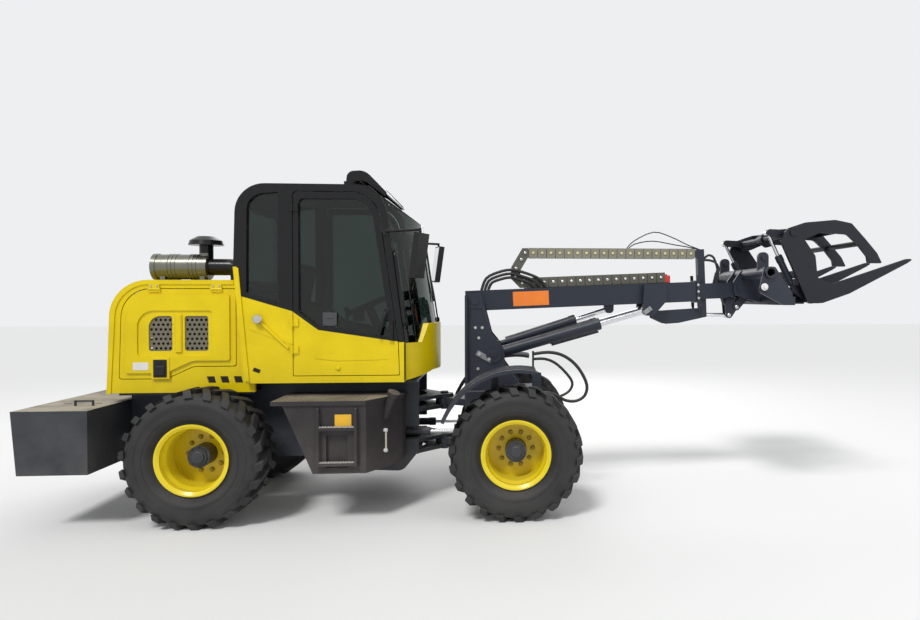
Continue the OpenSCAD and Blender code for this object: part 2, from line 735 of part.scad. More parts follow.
// Step boxes beside the cab: tank with a cut-back front, tread plate, ladder, filler and level gauge
module step_boxes() {
    face = 930;
    color(dark) both() {
        difference() {
            intersection() {
                slab(405, 930) polygon([[-1790, 346], [-1790, face], [-1150, face], [-930, 545],
                    [-930, 346]]);
                plate(300, 1000) polygon([[-1777, 931], [-1551, 404], [-900, 404], [-900, 931]]);
            }
            block([-1450, face - 30, 450], [-1290, face + 1, 700]);
        }
        slab(930, 962) polygon([[-1860, 346], [-1860, 945], [-1150, 945], [-920, 545], [-920, 346]]);
        for (x = [-1505, -1222]) {
            translate([x, 965, 470]) cylinder(r = 12, h = 430);
            for (z = [470, 900]) translate([x, face - 5, z]) rotate([-90, 0, 0]) cylinder(r = 12, h = 40);
            for (z = [470, 900]) translate([x, 965, z]) sphere(r = 12);
        }
        for (z = [470, 740]) difference() {
            block([-1505, face + 4, z], [-1222, 972, z + 24]);
            for (x = [-1480:40:-1240]) translate([x, face, z + 30]) rotate([-90, 0, 0]) cylinder(r = 13,
                h = 60);
        }
        translate([-1045, 700, 800]) rotate([0, 25, 30]) cylinder(r = 38, h = 200);
        translate([-1045, 700, 800]) rotate([0, 25, 30]) translate([0, 0, 190]) cylinder(r = 50, h = 34);
    }
}

// Front frame with the boom tower

tower_y = tower_gap / 2;
base_y = 300;
frame_z = 940;
tower_x = -434;
fender_at = [20, 545];
fender_r = 640;

module front_frame() {
    // side view of a tower plate
    tower = [[tower_x, frame_z - 300, 0], [tower_x, 1796, 30], [-296, 1796, 30], [-205, 1440, 60],
        [-92, 1300, 70],
             [-92, 1180, 70], [60, frame_z + 30, 0], [60, frame_z - 300, 0]];
    color(dark) union() {
        both() {
            difference() {
                plate(tower_y, tower_y + tower_t) polygon(rounded(tower));
                plate(tower_y + tower_t - 10, tower_y + tower_t + 1)
                    polygon(rounded([[-405, 1520, 10], [-405, 1660, 10], [-290, 1660, 10],
                        [-262, 1520, 10]]));
            }
            plate(tower_y + tower_t - 1, tower_y + tower_t + 55)
                polygon([[tower_x, frame_z], [tower_x, 1770], [tower_x + 22, 1770], [tower_x + 22, frame_z]]);
            bar_y(lift_base, 70, tower_y + tower_t - 1, tower_y + tower_t + 14);
            bar_y(lift_base, lift_pin_r, tower_y, tower_y + tower_t + 26);
            plate(base_y - 25, base_y) polygon([
                [tower_x, 420], [tower_x, frame_z], [230, frame_z], [230, rail_bottom],
                    [-300, rail_bottom], [-330, 420]]);
            steer_lug();
            fender_arm();
        }
        bar_y(foot, foot_r, -tower_y - tower_t - 12, tower_y + tower_t + 12);
        block([tower_x, -base_y + 1, frame_z - 22], [230, base_y - 1, frame_z]);
        block([tower_x, -base_y + 1, 420], [tower_x + 28, base_y - 1, frame_z - 1]);
        block([202, -base_y + 1, rail_bottom], [230, base_y - 1, frame_z - 1]);
        block([tower_x, -tower_y - 1, frame_z - 1], [tower_x + 22, tower_y + 1, 1560]);
        for (z = pivot_z) tongue(z);
        block([150, -275, frame_z - 1], [166, -215, 1285]);
        block([150, -275, frame_z - 1], [228, -265, 1100]);
    }
}

// One tongue of the articulation
module tongue(z) {
    slab(z - tongue_t / 2, z + tongue_t / 2) difference() {
        union() {
            polygon([[tower_x + 1, -200], [tower_x + 1, 200], [pivot_x, 78], [pivot_x, -78]]);
            translate([pivot_x, 0]) circle(r = 78);
        }
        translate([pivot_x, 0]) circle(r = pivot_r + fit);
    }
}

// Ears for the rod of a steering cylinder
module steer_lug() {
    difference() {
        for (z = [steer_z - 56, steer_z + 36]) slab(z, z + 20) polygon([
            [tower_x + 1, 210], [tower_x + 1, 290], [steer_eye[0] - 25, 275], [steer_eye[0] - 25, 225]]);
        translate([steer_eye[0], steer_eye[1], 0]) cylinder(r = steer_pin_r, h = 1200);
    }
}

// Bracket from the base to a front fender
module fender_arm() {
    block([-200, base_y - 1, 905], [-140, 545, 935]);
    block([-200, 515, 906], [-140, 545, 1119]);
    block([-200, 516, 1094], [-140, 650, 1118]);
    intersection() {
        block([-200, 620, 1095], [-140, 649, 1200]);
        bar_y(fender_at, fender_r - seat, 600, 700);
    }
}

// Fenders: bent sheets with ribs over the front wheels
module fenders() {
    color(dark) both() translate([fender_at[0], 968, fender_at[1]]) rotate([90, 0, 0]) {
        rotate_extrude(angle = 80, start = 78, $fn = 72) translate([fender_r, 0]) union() {
            square([8, 360]);
            for (w = [60:80:300]) translate([6, w]) square([8, 30]);
            translate([-18, 0]) square([20, 8]);
            translate([-18, 352]) square([20, 8]);
        }
    }
}

// Steering cylinders, in plan from the rear frame's ears to the front frame's ears. side is -1 or 1
module steer_axes(side) {
    mirror([0, side < 0 ? 1 : 0, 0]) translate([steer_base[0], steer_base[1], steer_z]) rotate([90, 0,
        0]) children();
}

steer_len = steer_eye[0] - steer_base[0];

module steer_barrel(side) {
    color(dark) steer_axes(side) barrel(66, 32, 40, 400, 30, steer_pin_r + fit, 60);
}

module steer_rod(side) {
    color(chrome) steer_axes(side) rod(32, 210, steer_len, 30, steer_pin_r + 4, 60);
}

// Boom

bw = boom_w / 2;
bh = boom_h / 2;
iw = bw - boom_t - pad_gap;
ih = bh - boom_t - pad_gap;
inner_back = 100;
lug_y = lift_y + 36;

module outer_boom() {
    color(dark) in_boom() difference() {
        union() {
            difference() {
                block([boom_back, -bw, -bh], [boom_end, bw, bh]);
                block([boom_back + 150, boom_t - bw, boom_t - bh], [boom_end + 1, bw - boom_t, bh - boom_t]);
            }
            bar_y([0, 0], 62, seat - tower_y, tower_y - seat);
            both() {
                plate(lug_y, lug_y + 20) polygon(rounded([
                    [boom_lift_pin[0] - 46, boom_lift_pin[1] - 46, 40], [boom_lift_pin[0] - 20, 84, 0],
                        [1712, 84, 0],
                    [1712, -70, 0], [boom_lift_pin[0] + 60, boom_lift_pin[1] - 46, 40]]));
                block([boom_lift_pin[0] - 5, bw - 1, -84], [1712, lug_y + 1, 84]);
                plate(24, 40) polygon(rounded([
                    [boom_level_pin[0] - 42, -bh + 1, 0], [boom_level_pin[0] + 42, -bh + 1, 0],
                    [boom_level_pin[0] + 38, boom_level_pin[1] - 38, 34],
                        [boom_level_pin[0] - 38, boom_level_pin[1] - 38, 34]]));
                plate(bw - 1, bw + 16) polygon([[boom_end - 26, 148], [boom_end, 148], [boom_end, -130],
                                               [boom_end - 8, -205], [boom_end - 26, -130]]);
            }
            bar_y(boom_lift_pin, lift_pin_r, -lug_y - 26, lug_y + 26);
            bar_y(boom_level_pin, 18, -40, 40);
            difference() {
                block([boom_end - 26, -bw - 10, -bh - 12], [boom_end, bw + 10, bh + 12]);
                block([boom_end - 27, -iw - seat, -ih - seat], [boom_end + 1, iw + seat, ih + seat]);
            }
            block([chain_x - 60, -chain_w / 2 - 6, bh - 1], [1760, chain_w / 2 + 6, bh + 6]);
        }
        bar_y([0, 0], foot_r + fit, -tower_y, tower_y);
    }
}

module inner_boom() {
    arm = [boom_tilt_base[0] - 36, boom_end + 70];
    color(dark) in_boom() union() {
        difference() {
            union() {
                block([inner_back, -iw, -ih], [boom_head_pin[0] - 140, iw, ih]);
                plate(-iw, iw) polygon([
                    [boom_head_pin[0] - 141, -ih], [boom_head_pin[0] - 141, ih],
                        [boom_head_pin[0], boom_head_pin[1] + 55],
                    [boom_head_pin[0], boom_head_pin[1] - 58]]);
                bar_y(boom_head_pin, 60, -iw, iw);
                wear_pad(inner_back + 4);
                both() plate(14, 30) polygon(rounded([
                    [boom_lever[0] - 50, 1 - ih, 0], [boom_lever[0] + 50, 1 - ih, 0],
                    [boom_lever[0] + 30, boom_lever[1] - 30, 26],
                        [boom_lever[0] - 30, boom_lever[1] - 30, 26]]));
                bar_y(boom_lever, 18, -52, 52);
            }
            block([inner_back - 1, boom_t - iw, boom_t - ih],
                [boom_head_pin[0] - 140, iw - boom_t, ih - boom_t]);
            bar_y(boom_head_pin, 30 + fit, -bw, bw);
        }
        // cradle of the tilt cylinder, carried in front of the outer boom's collar
        both() plate(46, 60) polygon(rounded([
            [arm[0] - 15, boom_tilt_base[1] - 30, 20], [arm[0] - 15, boom_tilt_base[1] + 30, 20],
            [arm[1] - 40, boom_tilt_base[1] + 40, 0], [arm[1] - 40, 1 - ih, 0], [arm[1], 1 - ih, 0],
            [arm[1], boom_tilt_base[1] - 40, 0], [arm[0] + 230, boom_tilt_base[1] - 86, 80],
            [arm[0] + 100, boom_tilt_base[1] - 90, 80]]));
        bar_y(boom_tilt_base, 16, -60, 60);
        block([boom_end + 36, -60, boom_tilt_base[1] + 42], [boom_end + 50, 60, 1 - ih]);
        chain_post();
    }
}

// Ring of sliding pads round the inner boom's back end
module wear_pad(x) {
    block([x, -iw - pad_gap + seat, -ih - pad_gap + seat],
        [x + 60, iw + pad_gap - seat, ih + pad_gap - seat]);
}

// Hose chain: it lies on the outer boom, bends back and ends on a post of the inner boom

chain_low = bh + 6;
chain_fixed = 1730;
chain_moving = boom_end - 14;
chain_pitch = 80;
// middle line of the bend, from the lower run to the upper one, in the boom's axes
chain_bend = [[500, chain_low + chain_h / 2], [424, chain_low + chain_h / 2], [366, 205], [375, 275],
              [425, 352], [462, 410.2], [492, 409]];
chain_x = chain_bend[0][0];
chain_end = chain_bend[len(chain_bend) - 1];

// A line that runs beside the line p at the distance d, with mitred corners
function beside(p, d) = let (n = len(p) - 1) [for (i = [0:n]) let (
    u = unit(p[min(i + 1, n)] - p[min(i, n - 1)]), v = unit(p[max(i, 1)] - p[max(i - 1, 0)]),
    m = unit([-u[1] - v[1], u[0] + v[0]]))
    p[i] + m * d / (m * [-u[1], u[0]])];

// A run of links along local X from x0 to x1, its middle line on local Z = 0
module chain_run(x0, x1) {
    count = floor((x1 - x0) / chain_pitch);
    link = (x1 - x0) / count;
    h = chain_h / 2;
    block([x0, 10 - chain_w / 2, 10 - h], [x1, chain_w / 2 - 10, h - 10]);
    for (i = [0:count - 1]) {
        block([x0 + i * link + 3, -chain_w / 2, -h], [x0 + (i + 1) * link - 3, chain_w / 2, h]);
        bar_y([x0 + (i + 0.5) * link, 0], 14, -chain_w / 2 - 4, chain_w / 2 + 4);
    }
}

module chain_lower() {
    n = len(chain_bend);
    h = chain_h / 2;
    color("#5a5a4e") in_boom() union() {
        translate([0, 0, chain_bend[0][1]]) chain_run(chain_x, chain_fixed);
        plate(4 - chain_w / 2, chain_w / 2 - 4)
            polygon(concat(beside(chain_bend, h - 2), [for (i = [n - 1:-1:0]) beside(chain_bend, 2 - h)[i]]));
        for (i = [1:n - 2]) bar_y(chain_bend[i], 14, -chain_w / 2 - 4, chain_w / 2 + 4);
    }
}

// The upper run is level when the machine stands, so it leans back in the boom's axes
module chain_upper() {
    color("#7a7550") in_boom() translate([chain_end[0], 0, chain_end[1]]) rotate([0, boom_tilt, 0])
        chain_run(seat + 2, chain_moving - chain_end[0]);
}

// Height just above the upper run at x, in the boom's axes
function chain_top(x) = chain_end[1] - (x - chain_end[0]) * tan(boom_tilt) + chain_h / 2 / cos(boom_tilt) + 0.6;

// Post on the inner boom that carries the moving end of the chain
module chain_post() {
    x = boom_end + 10;
    top = chain_end[1] - (chain_moving - chain_end[0]) * tan(boom_tilt);
    block([x, -40, ih - 1], [x + 64, 40, top + 40]);
    block([chain_moving, -40, top - 30], [x + 1, 40, top + 30]);
}

// Hoses, held at both ends

// Points of a smooth curve through p, n to each stretch
function spline(p, n) = let (m = len(p) - 1) concat(
    [for (i = [0:m - 1], k = [0:n - 1]) let (
        t = k / n, a = p[max(i - 1, 0)], b = p[i], c = p[i + 1], d = p[min(i + 2, m)])
        0.5 * (2 * b + (c - a) * t + (2 * a - 5 * b + 4 * c - d) * t * t + (3 * b - a - 3 * c + d) * t * t * t)],
    [p[m]]);

// A hose of radius r through the points p, which lie close to one side-view plane. It leaves along the direction
// from and arrives along the direction to, so its ends stand flat on what they are fixed to
module hose(p, from, to, r, n = 3, sides = 10) {
    line = spline(p, n);
    m = len(line);
    rings = [for (i = [0:m - 1], k = [0:sides - 1]) let (
        t = i == 0 ? from : i == m - 1 ? to : unit(line[i + 1] - line[i - 1]),
        u = unit(cross(t, [0, 1, 0])), v = cross(t, u))
        line[i] + r * (cos(360 * k / sides) * u + sin(360 * k / sides) * v)];
    skin = [for (i = [0:m - 2], k = [0:sides - 1]) let (q = (k + 1) % sides)
        [i * sides + k, i * sides + q, (i + 1) * sides + q, (i + 1) * sides + k]];
    polyhedron(rings, concat([[for (k = [sides - 1:-1:0]) k]], skin,
        [[for (k = [0:sides - 1]) (m - 1) * sides + k]]));
}

// Two hoses that loop forward from the tower's bracket and back into the front frame
module front_hoses() {
    color(black) {
        hose([[167, -250, 1262], [290, -252, 1275], [400, -255, 1255], [500, -258, 1195],
            [580, -262, 1100], [630, -265, 985],
              [612, -262, 895], [540, -258, 848], [450, -255, 850], [370, -250, 890], [310, -245, 915],
                  [231, -240, 920]],
             [1, 0, 0], [-1, 0, 0], 14);
        hose([[167, -232, 1215], [260, -226, 1215], [350, -215, 1180], [440, -206, 1100], [505, -203, 1010],
              [490, -203, 940], [430, -205, 895], [350, -208, 870], [290, -210, 862], [231, -212, 862]],
             [1, 0, 0], [-1, 0, 0], 12);
    }
}

// Three hoses that arch over the boom's foot beside the chain
module boom_hoses() {
    color(black) in_boom() for (h = [[60, 262, 640], [90, 228, 590], [120, 194, 540]]) {
        w = h[2] - h[0];
        hose([[h[0], -82, bh + 0.5], [h[0] + 0.08 * w, -82, 0.62 * h[1] + 32],
            [h[0] + 0.26 * w, -82, 0.93 * h[1]],
              [h[0] + 0.47 * w, -82, h[1]], [h[0] + 0.7 * w, -82, 0.86 * h[1]],
                  [h[0] + 0.9 * w, -82, 0.5 * h[1] + 38],
              [h[2], -82, bh + 0.5]], [0, 0, 1], [0, 0, -1], 13);
    }
}

// Hoses from the post down to the inner boom, and two thin wires from the chain to the post
module head_hoses() {
    top = chain_end[1] - (chain_moving - chain_end[0]) * tan(boom_tilt);
    post = boom_end + 74.5;
    color(black) in_boom() {
        for (y = [-24, 24]) hose([[post, y, top - 60], [post + 50, y, top - 40 + y],
            [post + 105, y, top - 62 + y],
            [post + 135, y, top - 140], [post + 128, y, 170], [post + 118, y, ih + 0.5]],
            [1, 0, 0], [0, 0, -1], 11);
        hose([[1391, -15, chain_top(1391)], [1460, -15, 484], [1644, -15, 559], [1806, -15, 510],
            [1960, -15, 430],
              [boom_end + 40, -15, top + 40.5]], [0, 0, 1], [0, 0, -1], 5, 3, 8);
        hose([[1410, 15, chain_top(1410)], [1475, 15, 459], [1640, 15, 480], [1836, 15, 440], [1960, 15, 415],
              [boom_end + 40, 15, top + 40.5]], [0, 0, 1], [0, 0, -1], 5, 3, 8);
    }
}

// Cylinders of the boom. Barrels carry the base eye, rods the eye on the boom

lift_len = norm(lift_pin - lift_base);
level_len = norm(level_pin - level_base);

module lift_axes() {
    both() translate([0, lift_y, 0]) along(lift_base, lift_pin) children();
}

module lift_barrels() {
    color(dark) lift_axes() {
        barrel(lift_d, lift_rod_d, 90, 985, 50, lift_pin_r + 2, 60);
        translate([0, 0, -66]) bar_x(9, 512, 950);
        for (x = [527, 935]) translate([x, 0, -66]) cylinder(r = 9, h = 28);
    }
}

module lift_rods() {
    color(chrome) lift_axes() rod(lift_rod_d, 420, lift_len, 46, lift_pin_r + fit, 60);
}

module level_barrel() {
    color(dark) along(level_base, level_pin) barrel(level_d, 45, 80, 740, 36, 20, 46);
}

module level_rod() {
    color(chrome) along(level_base, level_pin) rod(45, 360, level_len, 32, 18 + fit, 46);
}

// Tilt linkage of the grapple

lever_at = on_boom(boom_lever);
rod_at = lever_at + lever_rod;
link_at = lever_at + lever_link;
tilt_at = on_boom(boom_tilt_base);
head_link_at = head_pin + head_link;
tilt_len = norm(rod_at - tilt_at);

module tilt_barrel() {
    color(dark) along(tilt_at, rod_at) barrel(70, 36, 50, 400, 30, 16 + fit, 60);
}

module tilt_rod() {
    color(chrome) along(tilt_at, rod_at) rod(36, 210, tilt_len, 28, 18, 40);
}

// Two three-cornered plates joined by pin bosses
module tilt_lever() {
    color(dark) both() difference() {
        plate(36, 50) polygon(rounded([
            [lever_at[0] - 34, lever_at[1] + 34, 30], [lever_at[0] + 34, lever_at[1] + 34, 30],
            [link_at[0] + 30, link_at[1] + 14, 26], [rod_at[0] + 16, rod_at[1] - 32, 26],
            [rod_at[0] - 28, rod_at[1] - 22, 26]]));
        bar_y(lever_at, 18 + fit, 0, 80);
    }
    color(dark) bar_y((lever_at + rod_at) / 2, 14, -37, 37);
}

module tilt_link() {
    reach = norm(head_link_at - link_at);
    color(dark) difference() {
        union() {
            both() along(link_at, head_link_at) plate(56, 68) polygon(rounded([
                [-30, -30, 26], [-30, 30, 26], [reach + 30, 30, 26], [reach + 30, -30, 26]]));
            bar_y(head_link_at, 25, -57, 57);
        }
        bar_y(head_link_at, 20 + fit, -80, 80);
    }
}

// Carriage: cross tube, end plates and ears, hung on the head pin of the inner boom

cross = [2105, 1962];
ear_y = grapple_w / 2 - 175;
end_y = grapple_w / 2 - 15;

module carriage() {
    color(dark) difference() {
        union() {
            bar_y(cross, cross_d / 2, -end_y - 50, end_y + 50);
            bar_y(head_pin, 30, -bw - 20, bw + 20);
            both() {
                plate(iw + 6, iw + 30) polygon(rounded([
                    [head_pin[0] - 62, head_pin[1] - 62, 50], [head_pin[0] - 62, head_pin[1] + 60, 50],
                    [cross[0] - 40, cross[1] + 40, 0], [cross[0] + 40, cross[1] + 40, 0], [2330, 1850, 40],
                    [2330, 1690, 30], [head_link_at[0] - 20, head_link_at[1] - 40, 30]]));
                plate(end_y, end_y + 20) polygon(rounded([
                    [2010, 1800, 40], [2060, 2010, 0], [2150, 2010, 30], [2300, 1790, 30],
                        [2300, 1690, 20], [2220, 1690, 20]]));
                bar_y([2054, 1841], 26, end_y - 1, end_y + 34);
                plate(ear_y - 15, ear_y + 15) polygon(rounded([
                    [cross[0] - 44, cross[1], 0], [cross[0] - 44, 2140, 40], [cross[0] + 50, 2140, 40],
                    [cross[0] + 50, cross[1], 0]]));
                bar_y([cross[0] + 4, 2092], 20, ear_y - 34, ear_y + 34);
            }
            block([2240, -end_y - 1, 1690], [2330, end_y + 1, 1760]);
            bar_y(head_link_at, 20, -iw - 8, iw + 8);
        }
        bar_y(cross, cross_d / 2 - 15, -end_y - 60, end_y + 60);
    }
}

// Grapple: fork with three tines, and a jaw with three claws hinged on the fork's shaft

jaw_at = [2300, 2290];
clamp_eye = [2125, 2300];
clamp_base = [2350, 1835];
clamp_y = grapple_w / 2 - 115;
side_y = grapple_w / 2 - tine_t;
clamp_pin_r = 18;

module grapple_fork() {
    tine = [[2440, 1700, 40], [2561, 1708, 0], [2790, 1786, 60], [3290, 2040, 0], [tine_tip[0], 2066, 0],
            [tine_tip[0], tine_tip[1], 0], [3290, 2079, 0], [2640, 1866, 80], [2497, 1930, 0],
                [2470, 1760, 0]];
    cheek = [[2440, 1700, 30], [2200, 2225, 20], [2245, 2320, 40], [2345, 2320, 40], [2497, 2100, 60],
        [2520, 1880, 60], [2600, 1720, 0]];
    color(black) union() {
        for (y = [-side_y - tine_t, -tine_t / 2, side_y]) plate(y, y + tine_t) polygon(rounded(tine));
        for (y = [-side_y - tine_t, side_y]) plate(y, y + tine_t) polygon(rounded(cheek));
        plate(-tine_t / 2, tine_t / 2) polygon([[2440, 1700], [2320, 1960], [2420, 1990], [2520, 1880],
            [2560, 1720]]);
        block([2420, -side_y - 1, 1712], [2500, side_y + 1, 1792]);
        block([2352, -side_y - 1, 1920], [2412, side_y + 1, 1980]);
        block([2330 + seat, -end_y + 60, 1700], [2430, end_y - 60, 1712]);
        both() block([2330 + seat, 80, 1700], [2430, 110, 1790]);
        bar_y(jaw_at, jaw_r, -side_y - tine_t - 14, side_y + tine_t + 14);
        both() for (y = [clamp_y - 44, clamp_y + 30]) plate(y, y + 14) polygon(rounded([
            [2440, 1720, 0], [clamp_base[0] - 26, clamp_base[1] - 30, 24],
                [clamp_base[0] - 26, clamp_base[1] + 30, 24],
            [clamp_base[0] + 40, clamp_base[1] + 20, 0], [2480, 1780, 0]]));
        both() bar_y(clamp_base, clamp_pin_r, clamp_y - 44, clamp_y + 44);
    }
}

module grapple_jaw() {
    // outline of a claw: x, z, fillet
    claw = [[2330, 2215, 30], [2250, 2270, 30], [2280, 2335, 20], [2428, 2384, 80], [2687, 2408, 120],
        [2830, 2380, 40],
            [2950, 2250, 90], [3055, 2130, 60], [3098, 2044, 8], [2975, 2044, 12], [2966, 2100, 40],
                [2880, 2205, 90],
            [2790, 2286, 60], [2560, 2300, 120], [2420, 2240, 80]];
    reach = side_y - 10;
    sleeve = 42;
    color(black) difference() {
        union() {
            for (y = [-reach, -claw_t / 2, reach - claw_t]) plate(y, y + claw_t) polygon(rounded(claw, 5));
            for (y = [-reach, -60, reach - 120]) bar_y(jaw_at, sleeve, y, y + 120);
            plate(-reach + 1, reach - 1) polygon([
                [2440, 2372], [2690, 2394], [2822, 2370], [2834, 2318], [2818, 2314], [2808, 2354],
                    [2688, 2374], [2446, 2352]]);
            bar_y([2925, 2215], 24, -reach + 1, reach - 1);
            both() for (y = [clamp_y - 46, clamp_y + 32]) plate(y, y + 14) polygon(rounded([
                [jaw_at[0] + 30, jaw_at[1] - 30, 20], [clamp_eye[0] - 10, clamp_eye[1] - 30, 26],
                [clamp_eye[0] - 26, clamp_eye[1] + 30, 26], [jaw_at[0] + 30, jaw_at[1] + 30, 20]]));
            both() bar_y([2235, 2302], 14, clamp_y - 40, clamp_y + 40);
            both() bar_y([jaw_at[0], jaw_at[1]], sleeve - 4, clamp_y - 46, side_y - 12);
        }
        bar_y(jaw_at, jaw_r + fit, -side_y, side_y);
    }
}

clamp_len = norm(clamp_eye - clamp_base);

module clamp_axes() {
    both() translate([0, clamp_y, 0]) along(clamp_base, clamp_eye) children();
}

module clamp_barrels() {
    color(dark) clamp_axes() barrel(58, 30, 40, 305, 27, clamp_pin_r + fit, 54);
}

module clamp_rods() {
    color(chrome) clamp_axes() rod(30, 250, clamp_len, 24, 16, 54);
}

// The whole machine stands with its middle over the origin
module place() {
    translate([-mid_x, 0, 0]) children();
}

place() rear_chassis();
place() counterweight();
place() axle(rear_x, rail_bottom);  // rear_axle
place() engine_block();
place() hood_shell();
place() rear_grille();
place() cab_tub();
place() cab_frame();
place() cab_glass();
place() roof_visor();
place() seat();
place() steering_console();
place() mirrors();
place() step_boxes();
place() air_cleaner();
place() cab_door(-1);  // cab_door_right
place() cab_door(1);  // cab_door_left
place() door_glass(-1);  // door_glass_right
place() door_glass(1);  // door_glass_left
place() hood_door(-1);  // hood_door_right
place() hood_door(1);  // hood_door_left
place() hood_mesh(-1);  // hood_mesh_right
place() hood_mesh(1);  // hood_mesh_left
place() tyre(0, -1);  // tyre_front_right
place() tyre(0, 1);  // tyre_front_left
place() tyre(rear_x, -1);  // tyre_rear_right
place() tyre(rear_x, 1);  // tyre_rear_left
place() rim(0, -1);  // rim_front_right
place() rim(0, 1);  // rim_front_left
place() rim(rear_x, -1);  // rim_rear_right
place() rim(rear_x, 1);  // rim_rear_left
place() front_frame();
place() axle(0, rail_bottom);  // front_axle
place() fenders();
place() steer_barrel(-1);  // steer_barrel_right
place() steer_barrel(1);  // steer_barrel_left
place() steer_rod(-1);  // steer_rod_right
place() steer_rod(1);  // steer_rod_left
place() outer_boom();
place() inner_boom();
place() chain_lower();
place() chain_upper();
place() front_hoses();
place() boom_hoses();
place() head_hoses();
place() lift_barrels();
place() lift_rods();
place() level_barrel();
place() level_rod();
place() tilt_barrel();
place() tilt_rod();
place() tilt_lever();
place() tilt_link();
place() carriage();
place() grapple_fork();
place() grapple_jaw();
place() clamp_barrels();
place() clamp_rods();
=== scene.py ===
"""Telescopic wheel loader: materials, small pieces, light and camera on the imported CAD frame.

Lengths are metres in the row frame (X ahead, Y to the left, Z up). at() and on_boom() take millimetres.
"""
import math
import bmesh
import bpy
import numpy as np
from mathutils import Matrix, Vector

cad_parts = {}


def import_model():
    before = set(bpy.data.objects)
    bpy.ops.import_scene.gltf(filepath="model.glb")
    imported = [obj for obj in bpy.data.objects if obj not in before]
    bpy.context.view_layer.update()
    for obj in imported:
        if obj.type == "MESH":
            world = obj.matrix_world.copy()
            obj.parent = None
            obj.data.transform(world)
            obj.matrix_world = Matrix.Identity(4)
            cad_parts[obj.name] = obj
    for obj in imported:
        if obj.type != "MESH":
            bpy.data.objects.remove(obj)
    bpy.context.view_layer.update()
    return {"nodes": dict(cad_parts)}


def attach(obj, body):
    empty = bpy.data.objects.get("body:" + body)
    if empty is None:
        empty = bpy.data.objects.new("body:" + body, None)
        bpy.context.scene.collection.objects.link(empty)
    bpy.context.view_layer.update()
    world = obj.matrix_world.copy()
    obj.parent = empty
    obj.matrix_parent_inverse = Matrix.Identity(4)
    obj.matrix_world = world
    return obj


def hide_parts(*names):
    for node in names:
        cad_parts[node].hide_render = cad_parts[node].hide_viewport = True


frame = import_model()
NODES = frame["nodes"]

SHIFT = 0.1875                                  # front axle ahead of the row's origin
FOOT = np.array([-0.350 + SHIFT, 0.0, 1.726])   # boom foot pin
BOOM_TILT = math.radians(2.36)                  # boom at rest, above level
SIDES = ((-1, "right"), (1, "left"))            # sign of Y and the ending of a name
WHEELS = [(end, tag) for end in ("front", "rear") for _, tag in SIDES]


def at(x, y, z):
    """A point given in millimetres from the front axle, as metres in the row frame."""
    return np.array([x / 1000 + SHIFT, y / 1000, z / 1000])


def on_boom(x, y, z):
    """A point given in millimetres in the boom's own axes, as metres in the row frame."""
    c, s = math.cos(BOOM_TILT), math.sin(BOOM_TILT)
    return FOOT + np.array([x * c - z * s, y, x * s + z * c]) / 1000


# Camera: fitted to the photograph

FOCAL, SENSOR = 28.37, 36               # millimetres
FRAME_SHIFT = -0.112                    # share of the frame's width
STAND = (-0.085 + SHIFT, -6.58, 1.75)
TURN = (89.05, 0, -4.57)                # degrees about X, Y and Z

cam_data = bpy.data.cameras.new("camera")
cam_data.lens = FOCAL
cam_data.sensor_width = SENSOR
cam_data.shift_x = FRAME_SHIFT
camera = bpy.data.objects.new("camera", cam_data)
camera.location = STAND
camera.rotation_euler = [math.radians(a) for a in TURN]
bpy.context.scene.collection.objects.link(camera)
bpy.context.scene.camera = camera
bpy.context.scene.view_settings.view_transform = "Standard"


# Shader nodes

def new_group(name, inputs, outputs):
    """An empty shader group with typed sockets: inputs are (name, type, default), outputs (name, type)."""
    g = bpy.data.node_groups.new(name, "ShaderNodeTree")
    for sock, kind, default in inputs:
        s = g.interface.new_socket(sock, in_out="INPUT", socket_type=kind)
        s.default_value = default
    for sock, kind in outputs:
        g.interface.new_socket(sock, in_out="OUTPUT", socket_type=kind)
    return g, g.nodes.new("NodeGroupInput"), g.nodes.new("NodeGroupOutput")


def set_inputs(target, **values):
    """Input values of a node, with underscores for the spaces in their names."""
    for key, value in values.items():
        target.inputs[key.replace("_", " ")].default_value = value


def noise(tree, coord, **values):
    """A noise texture on a coordinate socket."""
    n = tree.nodes.new("ShaderNodeTexNoise")
    set_inputs(n, **values)
    tree.links.new(coord, n.inputs["Vector"])
    return n


def math_node(tree, op, a, b, clamp=False):
    """A Math node whose inputs are sockets or numbers. Returns its output."""
    n = tree.nodes.new("ShaderNodeMath")
    n.operation = op
    n.use_clamp = clamp
    for i, v in enumerate((a, b)):
        if isinstance(v, (int, float)):
            n.inputs[i].default_value = v
        else:
            tree.links.new(v, n.inputs[i])
    return n.outputs[0]


def ramp(tree, value, lo, hi, a=0.0, b=1.0):
    """value mapped from lo..hi to a..b, held at the ends."""
    n = tree.nodes.new("ShaderNodeMapRange")
    for i, v in enumerate((lo, hi, a, b)):
        n.inputs[i + 1].default_value = v
    tree.links.new(value, n.inputs[0])
    return n.outputs[0]


def mix(tree, factor, a, b):
    """Colour mix of a and b, sockets or colours, by a factor socket."""
    n = tree.nodes.new("ShaderNodeMix")
    n.data_type = "RGBA"
    tree.links.new(factor, n.inputs["Factor"])
    for i, v in ((6, a), (7, b)):
        if isinstance(v, tuple):
            n.inputs[i].default_value = v
        else:
            tree.links.new(v, n.inputs[i])
    return n.outputs[2]


DUST = (0.33, 0.28, 0.21, 1)


